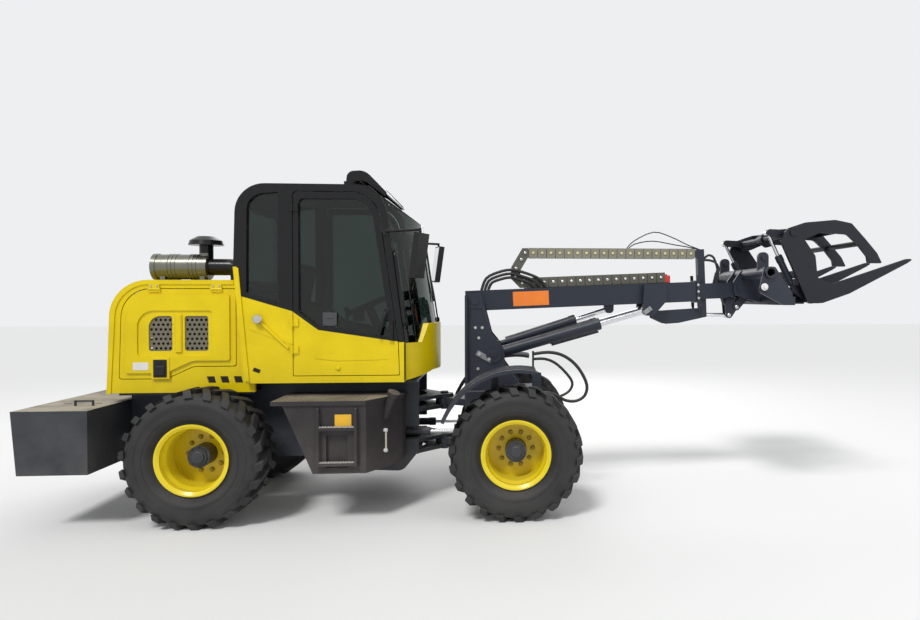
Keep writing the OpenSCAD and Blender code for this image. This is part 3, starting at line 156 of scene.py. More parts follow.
def make_worn_group():
    """Painted or moulded surface: cloudy tint, dust that settles on upward faces and low down, fine bump.

    dust = (upward * Top dust + lowness * Low dust) * (patch + 0.25), held between 0 and 1.
    """
    g, gi, go = new_group("worn_surface", [
        ("Base", "NodeSocketColor", (0.5, 0.5, 0.5, 1)), ("Dust", "NodeSocketColor", DUST),
        ("Top dust", "NodeSocketFloat", 0.3), ("Low dust", "NodeSocketFloat", 0.3),
        ("Rough", "NodeSocketFloat", 0.35), ("Grain", "NodeSocketFloat", 90.0),
        ("Bump", "NodeSocketFloat", 0.05)],
        [("Color", "NodeSocketColor"), ("Roughness", "NodeSocketFloat"), ("Normal", "NodeSocketVector")])
    coord = g.nodes.new("ShaderNodeTexCoord").outputs["Object"]
    cloud = noise(g, coord, Scale=3.1, Detail=5.0, Roughness=0.6).outputs["Fac"]
    speck = noise(g, coord, Scale=34.0, Detail=4.0, Roughness=0.7).outputs["Fac"]
    fine = noise(g, coord, Detail=3.0, Roughness=0.55)
    g.links.new(gi.outputs["Grain"], fine.inputs["Scale"])
    place = g.nodes.new("ShaderNodeSeparateXYZ")
    g.links.new(coord, place.inputs[0])
    facing = g.nodes.new("ShaderNodeSeparateXYZ")
    g.links.new(g.nodes.new("ShaderNodeNewGeometry").outputs["Normal"], facing.inputs[0])
    patch = math_node(g, "MULTIPLY", ramp(g, cloud, 0.35, 0.65), ramp(g, speck, 0.3, 0.7, 0.45, 1.0))
    top = math_node(g, "MULTIPLY", ramp(g, facing.outputs["Z"], 0.35, 0.95), gi.outputs["Top dust"])
    low = math_node(g, "MULTIPLY", ramp(g, place.outputs["Z"], 1.25, 0.25), gi.outputs["Low dust"])
    settled = math_node(g, "ADD", top, low)
    dust = math_node(g, "MULTIPLY", settled, math_node(g, "ADD", patch, 0.25), clamp=True)
    tint = g.nodes.new("ShaderNodeHueSaturation")
    g.links.new(gi.outputs["Base"], tint.inputs["Color"])
    g.links.new(ramp(g, cloud, 0.3, 0.7, 0.9, 1.08), tint.inputs["Value"])
    g.links.new(mix(g, dust, tint.outputs[0], gi.outputs["Dust"]), go.inputs["Color"])
    grit = math_node(g, "MULTIPLY", ramp(g, speck, 0.3, 0.7, -0.5, 0.5), 0.1)
    rough = math_node(g, "ADD", gi.outputs["Rough"], grit)
    rough = math_node(g, "ADD", rough, math_node(g, "MULTIPLY", dust, 0.45), clamp=True)
    g.links.new(rough, go.inputs["Roughness"])
    bump = g.nodes.new("ShaderNodeBump")
    set_inputs(bump, Distance=0.002)
    g.links.new(gi.outputs["Bump"], bump.inputs["Strength"])
    g.links.new(fine.outputs["Fac"], bump.inputs["Height"])
    g.links.new(bump.outputs[0], go.inputs["Normal"])
    return g


WORN = make_worn_group()


# Materials

COAT_ROUGH = 0.12


def new_material(name):
    """A node material, its tree and its Principled shader."""
    m = bpy.data.materials.new(name)
    m.use_nodes = True
    return m, m.node_tree, m.node_tree.nodes["Principled BSDF"]


def worn_node(tree, **values):
    """The worn_surface group in a material's tree, with its inputs set."""
    g = tree.nodes.new("ShaderNodeGroup")
    g.node_tree = WORN
    set_inputs(g, **values)
    return g


def worn(name, base, rough=0.35, top=0.3, low=0.3, grain=90.0, bump=0.05, metal=0.0, coat=0.0, dust=DUST,
         spec=0.5):
    """A material on the shared worn_surface group."""
    m, t, shader = new_material(name)
    g = worn_node(t, Base=(*base, 1), Dust=dust, Top_dust=top, Low_dust=low, Rough=rough, Grain=grain,
                  Bump=bump)
    t.links.new(g.outputs["Color"], shader.inputs["Base Color"])
    t.links.new(g.outputs["Roughness"], shader.inputs["Roughness"])
    t.links.new(g.outputs["Normal"], shader.inputs["Normal"])
    set_inputs(shader, Metallic=metal, Specular_IOR_Level=spec, Coat_Weight=coat, Coat_Roughness=COAT_ROUGH)
    return m


def make_glass():
    """Tinted safety glass: a clear dark green pane with light smears of dust."""
    m, t, shader = new_material("tinted_glass")
    coord = t.nodes.new("ShaderNodeTexCoord").outputs["Object"]
    smear = noise(t, coord, Scale=2.4, Detail=4.0, Roughness=0.55).outputs["Fac"]
    tint = mix(t, ramp(t, smear, 0.4, 0.75), (0.105, 0.150, 0.132, 1), (0.135, 0.180, 0.158, 1))
    t.links.new(tint, shader.inputs["Base Color"])
    set_inputs(shader, Transmission_Weight=1.0, Roughness=0.0, IOR=1.45)
    return m


def split_paint(name, planes, below, above, metal=0.0, every=False):
    """Two paints (colour, roughness) on one node: the second's colour where normal . p > offset, and the
    first's roughness and bump all over.

    planes are (normal, offset), and the second paint needs any of them, or every one.
    """
    m, t, shader = new_material(name)
    coord = t.nodes.new("ShaderNodeTexCoord").outputs["Object"]
    part = None
    for normal, offset in planes:
        dot = t.nodes.new("ShaderNodeVectorMath")
        dot.operation = "DOT_PRODUCT"
        dot.inputs[1].default_value = normal
        t.links.new(coord, dot.inputs[0])
        one = math_node(t, "GREATER_THAN", dot.outputs["Value"], offset)
        part = one if part is None else math_node(t, "MINIMUM" if every else "MAXIMUM", part, one)
    if metal:
        bare = math_node(t, "SUBTRACT", 1.0, part)
        t.links.new(math_node(t, "MULTIPLY", bare, metal), shader.inputs["Metallic"])
    first, second = (worn_node(t, Base=(*base, 1), Rough=rough, Top_dust=0.08, Low_dust=0.06)
                     for base, rough in (below, above))
    t.links.new(mix(t, part, first.outputs["Color"], second.outputs["Color"]), shader.inputs["Base Color"])
    t.links.new(first.outputs["Roughness"], shader.inputs["Roughness"])
    t.links.new(first.outputs["Normal"], shader.inputs["Normal"])
    set_inputs(shader, Specular_IOR_Level=0.25, Coat_Weight=0.12, Coat_Roughness=COAT_ROUGH)
    return m


def plane_over(a, b):
    """The plane through a and b that is square to the side view, as an upward normal and its offset."""
    d = (b - a) / np.linalg.norm(b - a)
    normal = (-d[2], 0.0, d[0])
    return normal, float(np.dot(normal, a))


YELLOW = (0.76, 0.575, 0.001)
BLACK = (0.007, 0.007, 0.008)
PLASTIC = (0.009, 0.009, 0.010)
mat_yellow = worn("yellow_enamel", YELLOW, 0.30, 0.08, 0.06, coat=0.12, spec=0.25)
mat_rim = worn("rim_enamel", (0.80, 0.62, 0.002), 0.28, 0.08, 0.10, coat=0.2, spec=0.3)
mat_slate = worn("slate_enamel", (0.017, 0.022, 0.034), 0.40, 0.55, 0.25, dust=(0.26, 0.25, 0.23, 1),
                 spec=0.35)
mat_block = worn("counterweight_enamel", (0.026, 0.030, 0.040), 0.5, 1.3, 0.15, grain=60, bump=0.15,
                 dust=(0.40, 0.36, 0.29, 1), spec=0.35)
mat_black = worn("black_enamel", BLACK, 0.32, 0.12, 0.15, spec=0.3)
mat_plastic = worn("black_plastic", PLASTIC, 0.5, 0.15, 0.2, grain=260, bump=0.25, spec=0.3)
mat_hose = worn("hose_rubber", (0.010, 0.010, 0.011), 0.5, 0.15, 0.2, grain=300, bump=0.2)
mat_tyre = worn("tyre_rubber", (0.016, 0.016, 0.017), 0.60, 0.3, 0.30, grain=160, bump=0.3,
                dust=(0.105, 0.10, 0.095, 1), spec=0.4)
mat_steel = worn("bare_steel", (0.55, 0.54, 0.52), 0.35, 0.3, 0.4, metal=0.9)
mat_white = worn("white_paint", (0.72, 0.72, 0.70), 0.45, 0.2, 0.2)
mat_chain = worn("chain_links", (0.085, 0.085, 0.065), 0.55, 0.9, 0.2, dust=(0.28, 0.26, 0.18, 1))
mat_chain_pale = worn("chain_links_pale", (0.21, 0.205, 0.155), 0.6, 0.9, 0.2, dust=(0.34, 0.31, 0.21, 1))
mat_dot = worn("chain_pins", (0.62, 0.56, 0.28), 0.5, 0.3, 0.2)
mat_orange = worn("orange_plate", (0.78, 0.20, 0.02), 0.45, 0.1, 0.1)
mat_red = worn("red_paint", (0.55, 0.03, 0.02), 0.4, 0.2, 0.1)
mat_engine = worn("engine_casting", (0.10, 0.10, 0.10), 0.6, 0.4, 0.2, grain=120, bump=0.3)
mat_tread = worn("step_metal", (0.14, 0.125, 0.105), 0.6, 0.8, 0.3, metal=0.4)
mat_rung = worn("rung_metal", (0.40, 0.39, 0.37), 0.55, 0.3, 0.2, metal=0.2)
mat_amber = worn("amber_plate", (0.85, 0.47, 0.02), 0.45, 0.1, 0.1)
# the nuts have the rim's yellow paint, darkened here as painted shade for their dark edges
mat_nut_shaded = worn("nut_yellow_painted_shade", (0.38, 0.28, 0.006), 0.40, 0.2, 0.2, spec=0.3)
mat_keeper = worn("keeper_steel", (0.30, 0.31, 0.31), 0.4, 0.2, 0.2, metal=0.3)
mat_seat = worn("seat_cloth", (0.030, 0.031, 0.034), 0.9, 0.1, 0.0, grain=700, bump=0.6)
mat_lamp = worn("lamp_lens", (0.75, 0.76, 0.74), 0.12, 0.1, 0.0)
mat_chrome = worn("hard_chrome", (0.72, 0.72, 0.74), 0.14, 0.05, 0.1, grain=400, bump=0.04, metal=1.0)
mat_dark = worn("dark_enamel", (0.007, 0.008, 0.014), 0.42, 0.10, 0.20, spec=0.3)
mat_step = worn("step_enamel", (0.020, 0.018, 0.020), 0.5, 0.5, 0.30, dust=(0.20, 0.17, 0.15, 1), spec=0.35)
mat_mesh = worn("mesh_sheet", (0.15, 0.135, 0.095), 0.5, 0.3, 0.2)
mat_catch = worn("catch_grey", (0.055, 0.057, 0.060), 0.4)
mat_mirror = worn("mirror_glass", (0.80, 0.82, 0.83), 0.04, 0.05, 0.0, bump=0.0, metal=1.0)
mat_tower_keeper = worn("keeper_grey", (0.20, 0.21, 0.22), 0.4)
mat_gauge = worn("gauge_tube", (0.55, 0.52, 0.44), 0.2)
mat_glass = make_glass()
# the air cleaner is bare sheet with a black cap and a black outlet
mat_cleaner = split_paint("air_cleaner_paint", [((0, 0, 1), 2.128), ((1, 0, 0), -2.578 + SHIFT)],
                          ((0.20, 0.20, 0.17), 0.28), (PLASTIC, 0.5), metal=0.8)
# the door's frame is black above the bent line from its rear edge to the front
SILL = [at(-1776, 0, 1632), at(-1588, 0, 1492), at(-1017, 0, 1405)]
mat_door = split_paint("door_paint", [plane_over(SILL[0], SILL[1]), plane_over(SILL[1], SILL[2])],
                       (YELLOW, 0.30), (BLACK, 0.32), every=True)

FINISHES = [
    (mat_yellow, ["hood_shell", "cab_tub", "hood_door_right", "hood_door_left"]),
    (mat_rim, [f"rim_{end}_{tag}" for end, tag in WHEELS]),
    (mat_tyre, [f"tyre_{end}_{tag}" for end, tag in WHEELS]),
    (mat_slate, ["rear_chassis", "rear_axle", "front_frame", "front_axle", "fenders", "outer_boom",
                 "inner_boom", "lift_barrels", "level_barrel", "tilt_barrel", "tilt_lever", "tilt_link",
                 "carriage", "clamp_barrels", "steer_barrel_right", "steer_barrel_left"]),
    (mat_dark, ["grapple_fork", "grapple_jaw"]),
    (mat_step, ["step_boxes"]),
    (mat_block, ["counterweight"]),
    (mat_black, ["cab_frame", "roof_visor", "rear_grille"]),
    (mat_plastic, ["mirrors", "steering_console"]),
    (mat_engine, ["engine_block"]),
    (mat_cleaner, ["air_cleaner"]),
    (mat_glass, ["cab_glass", "door_glass_right", "door_glass_left"]),
    (mat_chrome, ["lift_rods", "level_rod", "tilt_rod", "clamp_rods", "steer_rod_right", "steer_rod_left"]),
    (mat_chain, ["chain_lower"]),
    (mat_chain_pale, ["chain_upper"]),
    (mat_mesh, ["hood_mesh_right", "hood_mesh_left"]),
    (mat_hose, ["front_hoses", "boom_hoses", "head_hoses"]),
    (mat_door, ["cab_door_right", "cab_door_left"])]
for finish, names in FINISHES:
    for name in names:
        data = NODES[name].data
        data.materials.clear()
        data.materials.append(finish)


# Mesh helpers

POLE = 1e-5             # vertices closer than this are one


def add(name, verts, faces, material, body, slot=None, smooth=False):
    """A mesh piece in the row frame that rides on a body, with poles closed and faces turned outwards."""
    mesh = bpy.data.meshes.new(name)
    mesh.from_pydata(np.asarray(verts, float).tolist(), [], faces)
    bm = bmesh.new()
    bm.from_mesh(mesh)
    bmesh.ops.remove_doubles(bm, verts=bm.verts, dist=POLE)
    bmesh.ops.recalc_face_normals(bm, faces=bm.faces)
    bm.to_mesh(mesh)
    bm.free()
    mesh.materials.append(material)
    mesh.update()
    if smooth:
        mesh.polygons.foreach_set("use_smooth", np.ones(len(mesh.polygons), bool))
    obj = bpy.data.objects.new(name, mesh)
    bpy.context.scene.collection.objects.link(obj)
    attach(obj, body)
    return obj


def merge(parts):
    """One vertex array and face list from several (verts, faces)."""
    verts, faces, base = [], [], 0
    for v, f in parts:
        verts.append(np.asarray(v, float))
        faces += [[i + base for i in face] for face in f]
        base += len(v)
    return np.vstack(verts), faces


def grid_faces(rows, n, closed=False):
    """Quads between neighbouring rings of n vertices. closed joins the last ring to the first."""
    j, i = np.meshgrid(np.arange(rows if closed else rows - 1), np.arange(n), indexing="ij")
    beside, above = (i + 1) % n, (j + 1) % rows
    quads = np.stack([j * n + i, j * n + beside, above * n + beside, above * n + i], -1)
    return quads.reshape(-1, 4).tolist()


def end_caps(rows, n):
    """The two faces that close a stack of rings."""
    return [list(range(n))[::-1], list(range((rows - 1) * n, rows * n))]


def axes_for(axis):
    """Two unit vectors square to an axis, and the axis itself."""
    a = np.asarray(axis, float) / np.linalg.norm(axis)
    h = np.array([0, 0, 1.0]) if abs(a[2]) < 0.9 else np.array([1.0, 0, 0])
    u = np.cross(h, a)
    u /= np.linalg.norm(u)
    return u, np.cross(a, u), a


def angles(n):
    """n equal steps of a full turn."""
    return np.arange(n) * 2 * math.pi / n


def rings(centre, axis, profile, n):
    """Surface of revolution centre + r (cos t u + sin t v) + h a: a ring of n points for each (r, h)."""
    u, v, a = axes_for(axis)
    t = angles(n)[:, None]
    r, h = np.asarray(profile, float).T[:, :, None, None]
    return (np.asarray(centre) + r * (np.cos(t) * u + np.sin(t) * v) + h * a).reshape(-1, 3)


def turned(centre, axis, profile, n=24):
    """Solid of revolution, closed at both ends: profile rows are (radius, height along axis)."""
    k = len(profile)
    return rings(centre, axis, profile, n), grid_faces(k, n) + end_caps(k, n)


def hoop(centre, axis, profile, n=72):
    """Ring of revolution with a closed profile: rows are (radius, height along axis)."""
    return rings(centre, axis, profile, n), grid_faces(len(profile), n, closed=True)


def hex_bolt(centre, axis, across, height):
    """Hexagon head on a washer, with a chamfered top. axis points out of the surface."""
    r = across / math.sqrt(3)
    rim = [(r * 1.25, -0.0005), (r * 1.25, height * 0.15), (r * 1.2, height * 0.2)]
    washer = turned(centre, axis, rim, 18)
    head = turned(centre, axis, [(r, height * 0.18), (r, height * 0.85), (r * 0.86, height)], 6)
    return merge([washer, head])


def slab(centre, size, turn=(1, 0, 0), up=(0, 0, 1), edge=0.12):
    """Box with chamfered edges: size along turn, along up x turn, and along up.

    edge is the chamfer as a share of the thinnest side. The points are the corners of three boxes, each full
    along one axis and smaller by the chamfer along the others.
    """
    t = np.asarray(turn, float) / np.linalg.norm(turn)
    w = np.asarray(up, float) - np.dot(up, t) * t
    w /= np.linalg.norm(w)
    half = np.asarray(size, float) / 2
    chamfer = edge * half.min() * 2
    signs = np.array(np.meshgrid([-1, 1], [-1, 1], [-1, 1])).T.reshape(-1, 3)
    local = np.vstack([signs * np.where(np.arange(3) == axis, half, half - chamfer) for axis in range(3)])
    bm = bmesh.new()
    for p in np.asarray(centre) + local @ np.array([t, np.cross(w, t), w]):
        bm.verts.new(p)
    bmesh.ops.convex_hull(bm, input=bm.verts)
    bm.verts.index_update()
    faces = [[q.index for q in f.verts] for f in bm.faces]
    points = np.array([q.co[:] for q in bm.verts])
    bm.free()
    return points, faces


def between(first, last):
    """Solid between two outlines with the same number of points."""
    n = len(first)
    around = [[i, (i + 1) % n, n + (i + 1) % n, n + i] for i in range(n)]
    return np.vstack([first, last]), [list(range(n)), list(range(2 * n - 1, n - 1, -1))] + around


def prism(outline, y0, y1, side):
    """A side-view outline [x, z] in millimetres, made thick between the distances y0 and y1 on one side."""
    return between(*([at(x, side * y, z) for x, z in outline] for y in (y0, y1)))


def smooth_path(points, per=8):
    """Catmull-Rom curve through the points, per steps a span."""
    p = np.asarray(points, float)
    q = np.vstack([2 * p[0] - p[1], p, 2 * p[-1] - p[-2]])
    t = np.linspace(0, 1, per, endpoint=False)[:, None]
    spans = [0.5 * (2 * b + (c - a) * t + (2 * a - 5 * b + 4 * c - d) * t ** 2
                    + (3 * b - a - 3 * c + d) * t ** 3)
             for a, b, c, d in zip(q[:-3], q[1:-2], q[2:-1], q[3:])]
    return np.vstack(spans + [p[-1:]])


def tube(points, radius, n=10):
    """Round tube along a smooth path, closed at both ends: a circle carried along without twist."""
    path = smooth_path(points)
    tangent = np.gradient(path, axis=0)
    tangent /= np.linalg.norm(tangent, axis=1)[:, None]
    u = axes_for(tangent[0])[0]
    t = angles(n)[:, None]
    rows = []
    for p, a in zip(path, tangent):
        u = u - np.dot(u, a) * a
        u /= np.linalg.norm(u)
        rows.append(p + radius * (np.cos(t) * u + np.sin(t) * np.cross(a, u)))
    return np.vstack(rows), grid_faces(len(rows), n) + end_caps(len(rows), n)


def turn_y(v, deg):
    """Points, one a row or a single one, turned about Y."""
    c, s = math.cos(math.radians(deg)), math.sin(math.radians(deg))
    return np.stack([c * v[..., 0] + s * v[..., 2], v[..., 1], -s * v[..., 0] + c * v[..., 2]], -1)


def turn_z(v, deg):
    """A point turned about Z."""
    c, s = math.cos(math.radians(deg)), math.sin(math.radians(deg))
    return np.array([c * v[0] - s * v[1], s * v[0] + c * v[1], v[2]])


# Wheels: raised rings on the tyre's flank, nuts on the disc, bolts and a cap on the hub

AXLE_Z = 0.525
WHEELBASE = 2.44
FLANK_Y = 0.980                                     # outer flank of the tyres
FLANK_RINGS = ((0.352, 0.004), (0.408, 0.006))      # radius and half width of the rings
RING_OUT, RING_IN, RING_SLOPE = 0.0015, -0.012, 0.002
DISC_Y, NUT_CIRCLE, NUTS = 0.655, 0.1375, 10
HUB_END, HUB_CIRCLE, HUB_BOLTS = 0.805, 0.073, 8
HUB_CAP = [(0.046, 0), (0.046, 0.012), (0.040, 0.018), (0.012, 0.020)]


def bolts_round(x, y, radius, count, across, height):
    """Bolt heads on a circle about the axle, on the plane y and pointing away from the machine's middle."""
    return merge([hex_bolt((x + radius * math.cos(a), y, AXLE_Z + radius * math.sin(a)), (0, np.sign(y), 0),
                           across, height) for a in angles(count)])


def flank_ring(x, side, r, w):
    """A flat-topped ring with sloping sides that stands out of a tyre's flank."""
    profile = [(r - w - RING_SLOPE, RING_IN), (r - w, RING_OUT), (r + w, RING_OUT),
               (r + w + RING_SLOPE, RING_IN)]
    return hoop((x, side * FLANK_Y, AXLE_Z), (0, side, 0), profile)


for end, x in (("front", SHIFT), ("rear", SHIFT - WHEELBASE)):
    for side, tag in SIDES:
        wheel = f"wheel_{end}_{tag}"
        nuts = bolts_round(x, side * DISC_Y, NUT_CIRCLE, NUTS, 0.027, 0.024)
        # nuts in a darker yellow than the rim: painted shade
        add(f"wheel_nuts_{end}_{tag}", *nuts, mat_nut_shaded, wheel, "yellow")
        bands = merge([flank_ring(x, side, r, w) for r, w in FLANK_RINGS])
        add(f"tyre_rings_{end}_{tag}", *bands, mat_tyre, wheel, "black")
        hub = merge([bolts_round(x, side * HUB_END, HUB_CIRCLE, HUB_BOLTS, 0.012, 0.009),
                     turned((x, side * (HUB_END + 0.0135), AXLE_Z), (0, side, 0), HUB_CAP)])
        add(f"hub_bolts_{end}_{tag}", *hub, mat_slate, f"{end}_frame", "slate")


# Hose chain: pale pin heads on both sides of the links, and the red clamp at its fixed end

CHAIN_SIDE = 0.064                      # half the links' width
CHAIN_Z = 141.0                         # lower run's middle, millimetres in the boom's axes as below
CHAIN_BEND = [(424, CHAIN_Z), (366, 205), (375, 275), (425, 352), (462, 410)]
CHAIN_TOP = (492, 409)
CLAMP_X = 1748
CHAIN_PIN = [(0.0125, -0.0005), (0.0125, 0.003), (0.008, 0.0055)]


def pin_heads(points):
    """Low domed heads at points of the middle line, on both sides of the chain."""
    return merge([turned(p + np.array([0, side * CHAIN_SIDE, 0]), (0, side, 0), CHAIN_PIN, 14)
                  for p in points for side, _ in SIDES])


def run_middles(x0, x1, pitch=80):
    """Middles of the links of a run, as the source spaces them."""
    count = int((x1 - x0) // pitch)
    return x0 + (np.arange(count) + 0.5) * (x1 - x0) / count


lower_pins = [on_boom(x, 0, CHAIN_Z) for x in run_middles(500, 1730)]
lower_pins += [on_boom(x, 0, z) for x, z in CHAIN_BEND]
top_start = on_boom(CHAIN_TOP[0], 0, CHAIN_TOP[1])
upper_pins = [top_start + np.array([x / 1000, 0, 0]) for x in run_middles(2.3, 1524)]
add("chain_dots_lower", *pin_heads(lower_pins), mat_steel, "outer_boom", "chrome")
add("chain_dots_upper", *pin_heads(upper_pins), mat_dot, "inner_boom", "chain")
clamp = merge([slab(on_boom(CLAMP_X, 0, CHAIN_Z - 18), (0.05, 0.13, 0.07)),
               hex_bolt(on_boom(CLAMP_X, 0, CHAIN_Z + 17), (0, 0, 1), 0.024, 0.012)])
add("chain_clamp_red", *clamp, mat_red, "outer_boom", "slate")


# Hood: latches, raised trims, blank labels, dark vent inserts, hinge screws

HOOD_Y, HOOD_REAR, HOOD_TOP = 545.0, -3250, 1895
HOOD_TURN, HOOD_RIM = 300, 34           # radius of the top rear corner and width of the rim
LATCH_X = -2829
LOCK = [(0.011, 0), (0.011, 0.004), (0.008, 0.006)]


def hood_latch(side):
    """Recessed paddle latch: plate, grip and lock."""
    return merge([slab(at(LATCH_X, side * (HOOD_Y + 22), 1187), (0.104, 0.014, 0.142), edge=0.25),
                  slab(at(LATCH_X, side * (HOOD_Y + 30), 1168), (0.072, 0.012, 0.074), edge=0.35),
                  turned(at(LATCH_X, side * (HOOD_Y + 28), 1236), (0, side, 0), LOCK, 18)])


def hood_line(inset):
    """The hood's rear and top edge in the side view, moved inwards: two straights and a quarter circle."""
    r = HOOD_TURN - inset
    cx, cz = HOOD_REAR + HOOD_RIM + HOOD_TURN, HOOD_TOP - HOOD_TURN
    arc = [(cx + r * math.cos(a), cz + r * math.sin(a)) for a in np.linspace(math.pi, math.pi / 2, 16)]
    return [(HOOD_REAR + inset, 985)] + arc + [(-2262, HOOD_TOP - inset)]


def hood_band(side):
    """Raised rim along the hood's rear and top edge: the strip between its outline and that one further in."""
    lines = (hood_line(1), hood_line(HOOD_RIM + 1))
    n = len(lines[0])
    verts = np.array([at(x, side * y, z) for y in (HOOD_Y - 1, HOOD_Y + 9)
                      for line in lines for x, z in line])
    faces = [[p + i, p + i + 1, q + i + 1, q + i] for i in range(n - 1)
             for p, q in ((0, n), (n, 3 * n), (3 * n, 2 * n), (2 * n, 0))]
    return verts, faces + [[0, n, 3 * n, 2 * n], [n - 1, 3 * n - 1, 4 * n - 1, 2 * n - 1]]


def hood_screws(side):
    """Two screws on each hinge of a hood door."""
    return merge([hex_bolt(at(x + dx, side * (HOOD_Y + 14), 1846), (0, side, 0), 0.012, 0.007)
                  for x in (-2875, -2396) for dx in (-24, 24)])


for side, tag in SIDES:
    lid = f"hood_door_{tag}"
    add(f"hood_latch_{tag}", *hood_latch(side), mat_plastic, lid, "black")
    trim = merge([slab(at(LATCH_X, side * (HOOD_Y + 17), 1187), (0.142, 0.012, 0.172), edge=0.3),
                  slab(at(-2690, side * (HOOD_Y + 9), 1466), (0.052, 0.022, 0.312), edge=0.35)])
    add(f"hood_trim_{tag}", *trim, mat_yellow, lid, "yellow")
    add(f"hood_band_{tag}", *hood_band(side), mat_yellow, "rear_frame", "yellow")
    edge_bar = prism([(-2246, 1996), (-2206, 1990), (-2126, 1082), (-2166, 1082)], 599, 613, side)
    add(f"cab_edge_bar_{tag}", *edge_bar, mat_yellow, "rear_frame", "yellow")
    label = slab(at(-2980, side * (HOOD_Y + 17), 1205), (0.120, 0.003, 0.062), edge=0.2)
    add(f"hood_label_{tag}", *label, mat_white, lid, "yellow")
    add(f"hood_screws_{tag}", *hood_screws(side), mat_steel, "rear_frame", "chrome")
    vents = merge([prism([(x + 3, 1117), (x + 58, 1117), (x + 72, 1068), (x + 17, 1068)],
                         HOOD_Y - 7.5, HOOD_Y - 4, side) for x in (-2480, -2375, -2270)])
    add(f"hood_vents_{tag}", *vents, mat_plastic, "rear_frame", "black")


# Cab: handles, catch plates, hold-open knobs, stays, mirror faces, lamp lenses, wiper

CATCH = (-1497, 1578)                   # middle of the catch plate in the side view
RIVET = [(0.007, -0.001), (0.007, 0.002), (0.004, 0.004)]
DOOR_LOCK = [(0.012, 0), (0.012, 0.005), (0.008, 0.008)]
KNOB = [(0.026, -0.001), (0.026, 0.008), (0.014, 0.011), (0.014, 0.026), (0.034, 0.029), (0.037, 0.038),
        (0.031, 0.045), (0.010, 0.047)]
PLUG = [(0.019, -0.001), (0.019, 0.006), (0.015, 0.012), (0.006, 0.014)]
LENS = [(0.040, -0.001), (0.040, 0.006), (0.034, 0.010), (0.012, 0.013)]


def door_catch(side):
    """Plate behind the pane with a slot and a rivet at each corner."""
    x, z = CATCH
    rivets = [turned(at(x + dx, side * 598, z + dz), (0, side, 0), RIVET, 10)
              for dx in (-42, 42) for dz in (-40, 40)]
    return merge([slab(at(x, side * 588, z), (0.112, 0.020, 0.108), edge=0.15),
                  slab(at(x, side * 598, z + 14), (0.060, 0.010, 0.018), edge=0.3)] + rivets)


def door_handle(side):
    """Bent pull handle with its base and lock."""
    bend = [at(-1052, side * 600, 1630), at(-1054, side * 630, 1615), at(-1080, side * 634, 1520),
            at(-1100, side * 632, 1442)]
    return merge([tube(bend, 0.012),
                  slab(at(-1050, side * 604, 1612), (0.042, 0.012, 0.110), (0.97, 0, -0.24), edge=0.3),
                  turned(at(-1047, side * 609, 1580), (0, side, 0), DOOR_LOCK, 18)])


def mirror_face(side):
    """A thin pane on the rear face of a door mirror, turned by 8 degrees about Y and then 20 about Z."""
    def world(v):
        return turn_z(turn_y(np.array(v, float), 8), 20) * np.array([1, side, 1])
    centre = at(-760, side * 790, 2085) + world((-0.0262, 0, 0))
    return slab(centre, (0.0024, 0.150, 0.336), world((-1, 0, 0)), world((0, 0, 1)), edge=0.3)


for side, tag in SIDES:
    door = f"cab_door_{tag}"
    add(f"door_catch_{tag}", *door_catch(side), mat_catch, door, "black")
    add(f"door_handle_{tag}", *door_handle(side), mat_plastic, door, "black")
    knob = turned(at(-2053, side * 600, 1579), (0, side, 0), KNOB)
    add(f"hold_open_knob_{tag}", *knob, mat_steel, "rear_frame", "black")
    stay = tube([at(-2045, side * 607, 1568), at(-1990, side * 612, 1512), at(-1890, side * 612, 1412),
                 at(-1822, side * 606, 1346)], 0.011)
    crease = prism([(-2128, 1500), (-1786, 1412), (-1786, 1376), (-1930, 1424)], 599, 605, side)
    add(f"tub_stay_{tag}", *merge([stay, crease]), mat_yellow, "rear_frame", "yellow")
    latch = slab(at(-2070, side * 602, 1170), (0.056, 0.006, 0.030), (0.94, 0, -0.34), edge=0.4)
    add(f"tub_latch_{tag}", *latch, mat_plastic, "rear_frame", "black")
    plug = turned(at(-1431, side * 600, 1183), (0, side, 0), PLUG, 20)
    add(f"door_plug_{tag}", *plug, mat_yellow, door, "yellow")
    seal = slab(at(-901, side * 577, 1235), (0.010, 0.047, 0.306), edge=0.1)
    add(f"nose_seal_{tag}", *seal, mat_plastic, "rear_frame", "black")
    grip = tube([at(x, side * 575, z) for x, z in ((-908, 1525), (-945, 1825), (-982, 2125))], 0.020, 14)
    add(f"rail_grip_{tag}", *grip, mat_black, "rear_frame", "black", smooth=True)
    add(f"mirror_face_{tag}", *mirror_face(side), mat_mirror, "rear_frame", "black")
    lens = turned(at(-1330, side * 250, 2713), (1, 0, 0), LENS, 28)
    add(f"lamp_lens_{tag}", *lens, mat_lamp, "rear_frame", "glass")


SCREEN_R = 728                          # radius of the windscreen's outer face, millimetres
SCREEN_LEAN = math.radians(8)


def screen_point(y, z):
    """A point of the windscreen's outer face, a cylinder that leans back, at y and height z in millimetres."""
    sag = (SCREEN_R - math.sqrt(SCREEN_R ** 2 - y ** 2)) / math.cos(SCREEN_LEAN)
    return at(-690 - (z - 1450) * math.tan(SCREEN_LEAN) - sag + 14, y, z)


hinge = screen_point(60, 1555) + np.array([-0.012, 0, 0])
wiper = merge([tube([screen_point(60, 1560), screen_point(20, 1760), screen_point(-60, 1960)], 0.007),
               tube([screen_point(-60, z) for z in (1720, 1960, 2180)], 0.009, 6),
               turned(hinge, (1, 0, 0.14), [(0.022, 0), (0.022, 0.02), (0.014, 0.028)], 20)])
add("wiper", *wiper, mat_plastic, "rear_frame", "black")


# Driver's seat: crowned cushions with sewn channels, in place of the plain solid

ROUNDNESS = 0.34
CROWN = 0.12                            # share of its height by which a cushion rises in the middle
GROOVE, GROOVE_W = 0.010, 0.008         # depth and width of a sewn channel


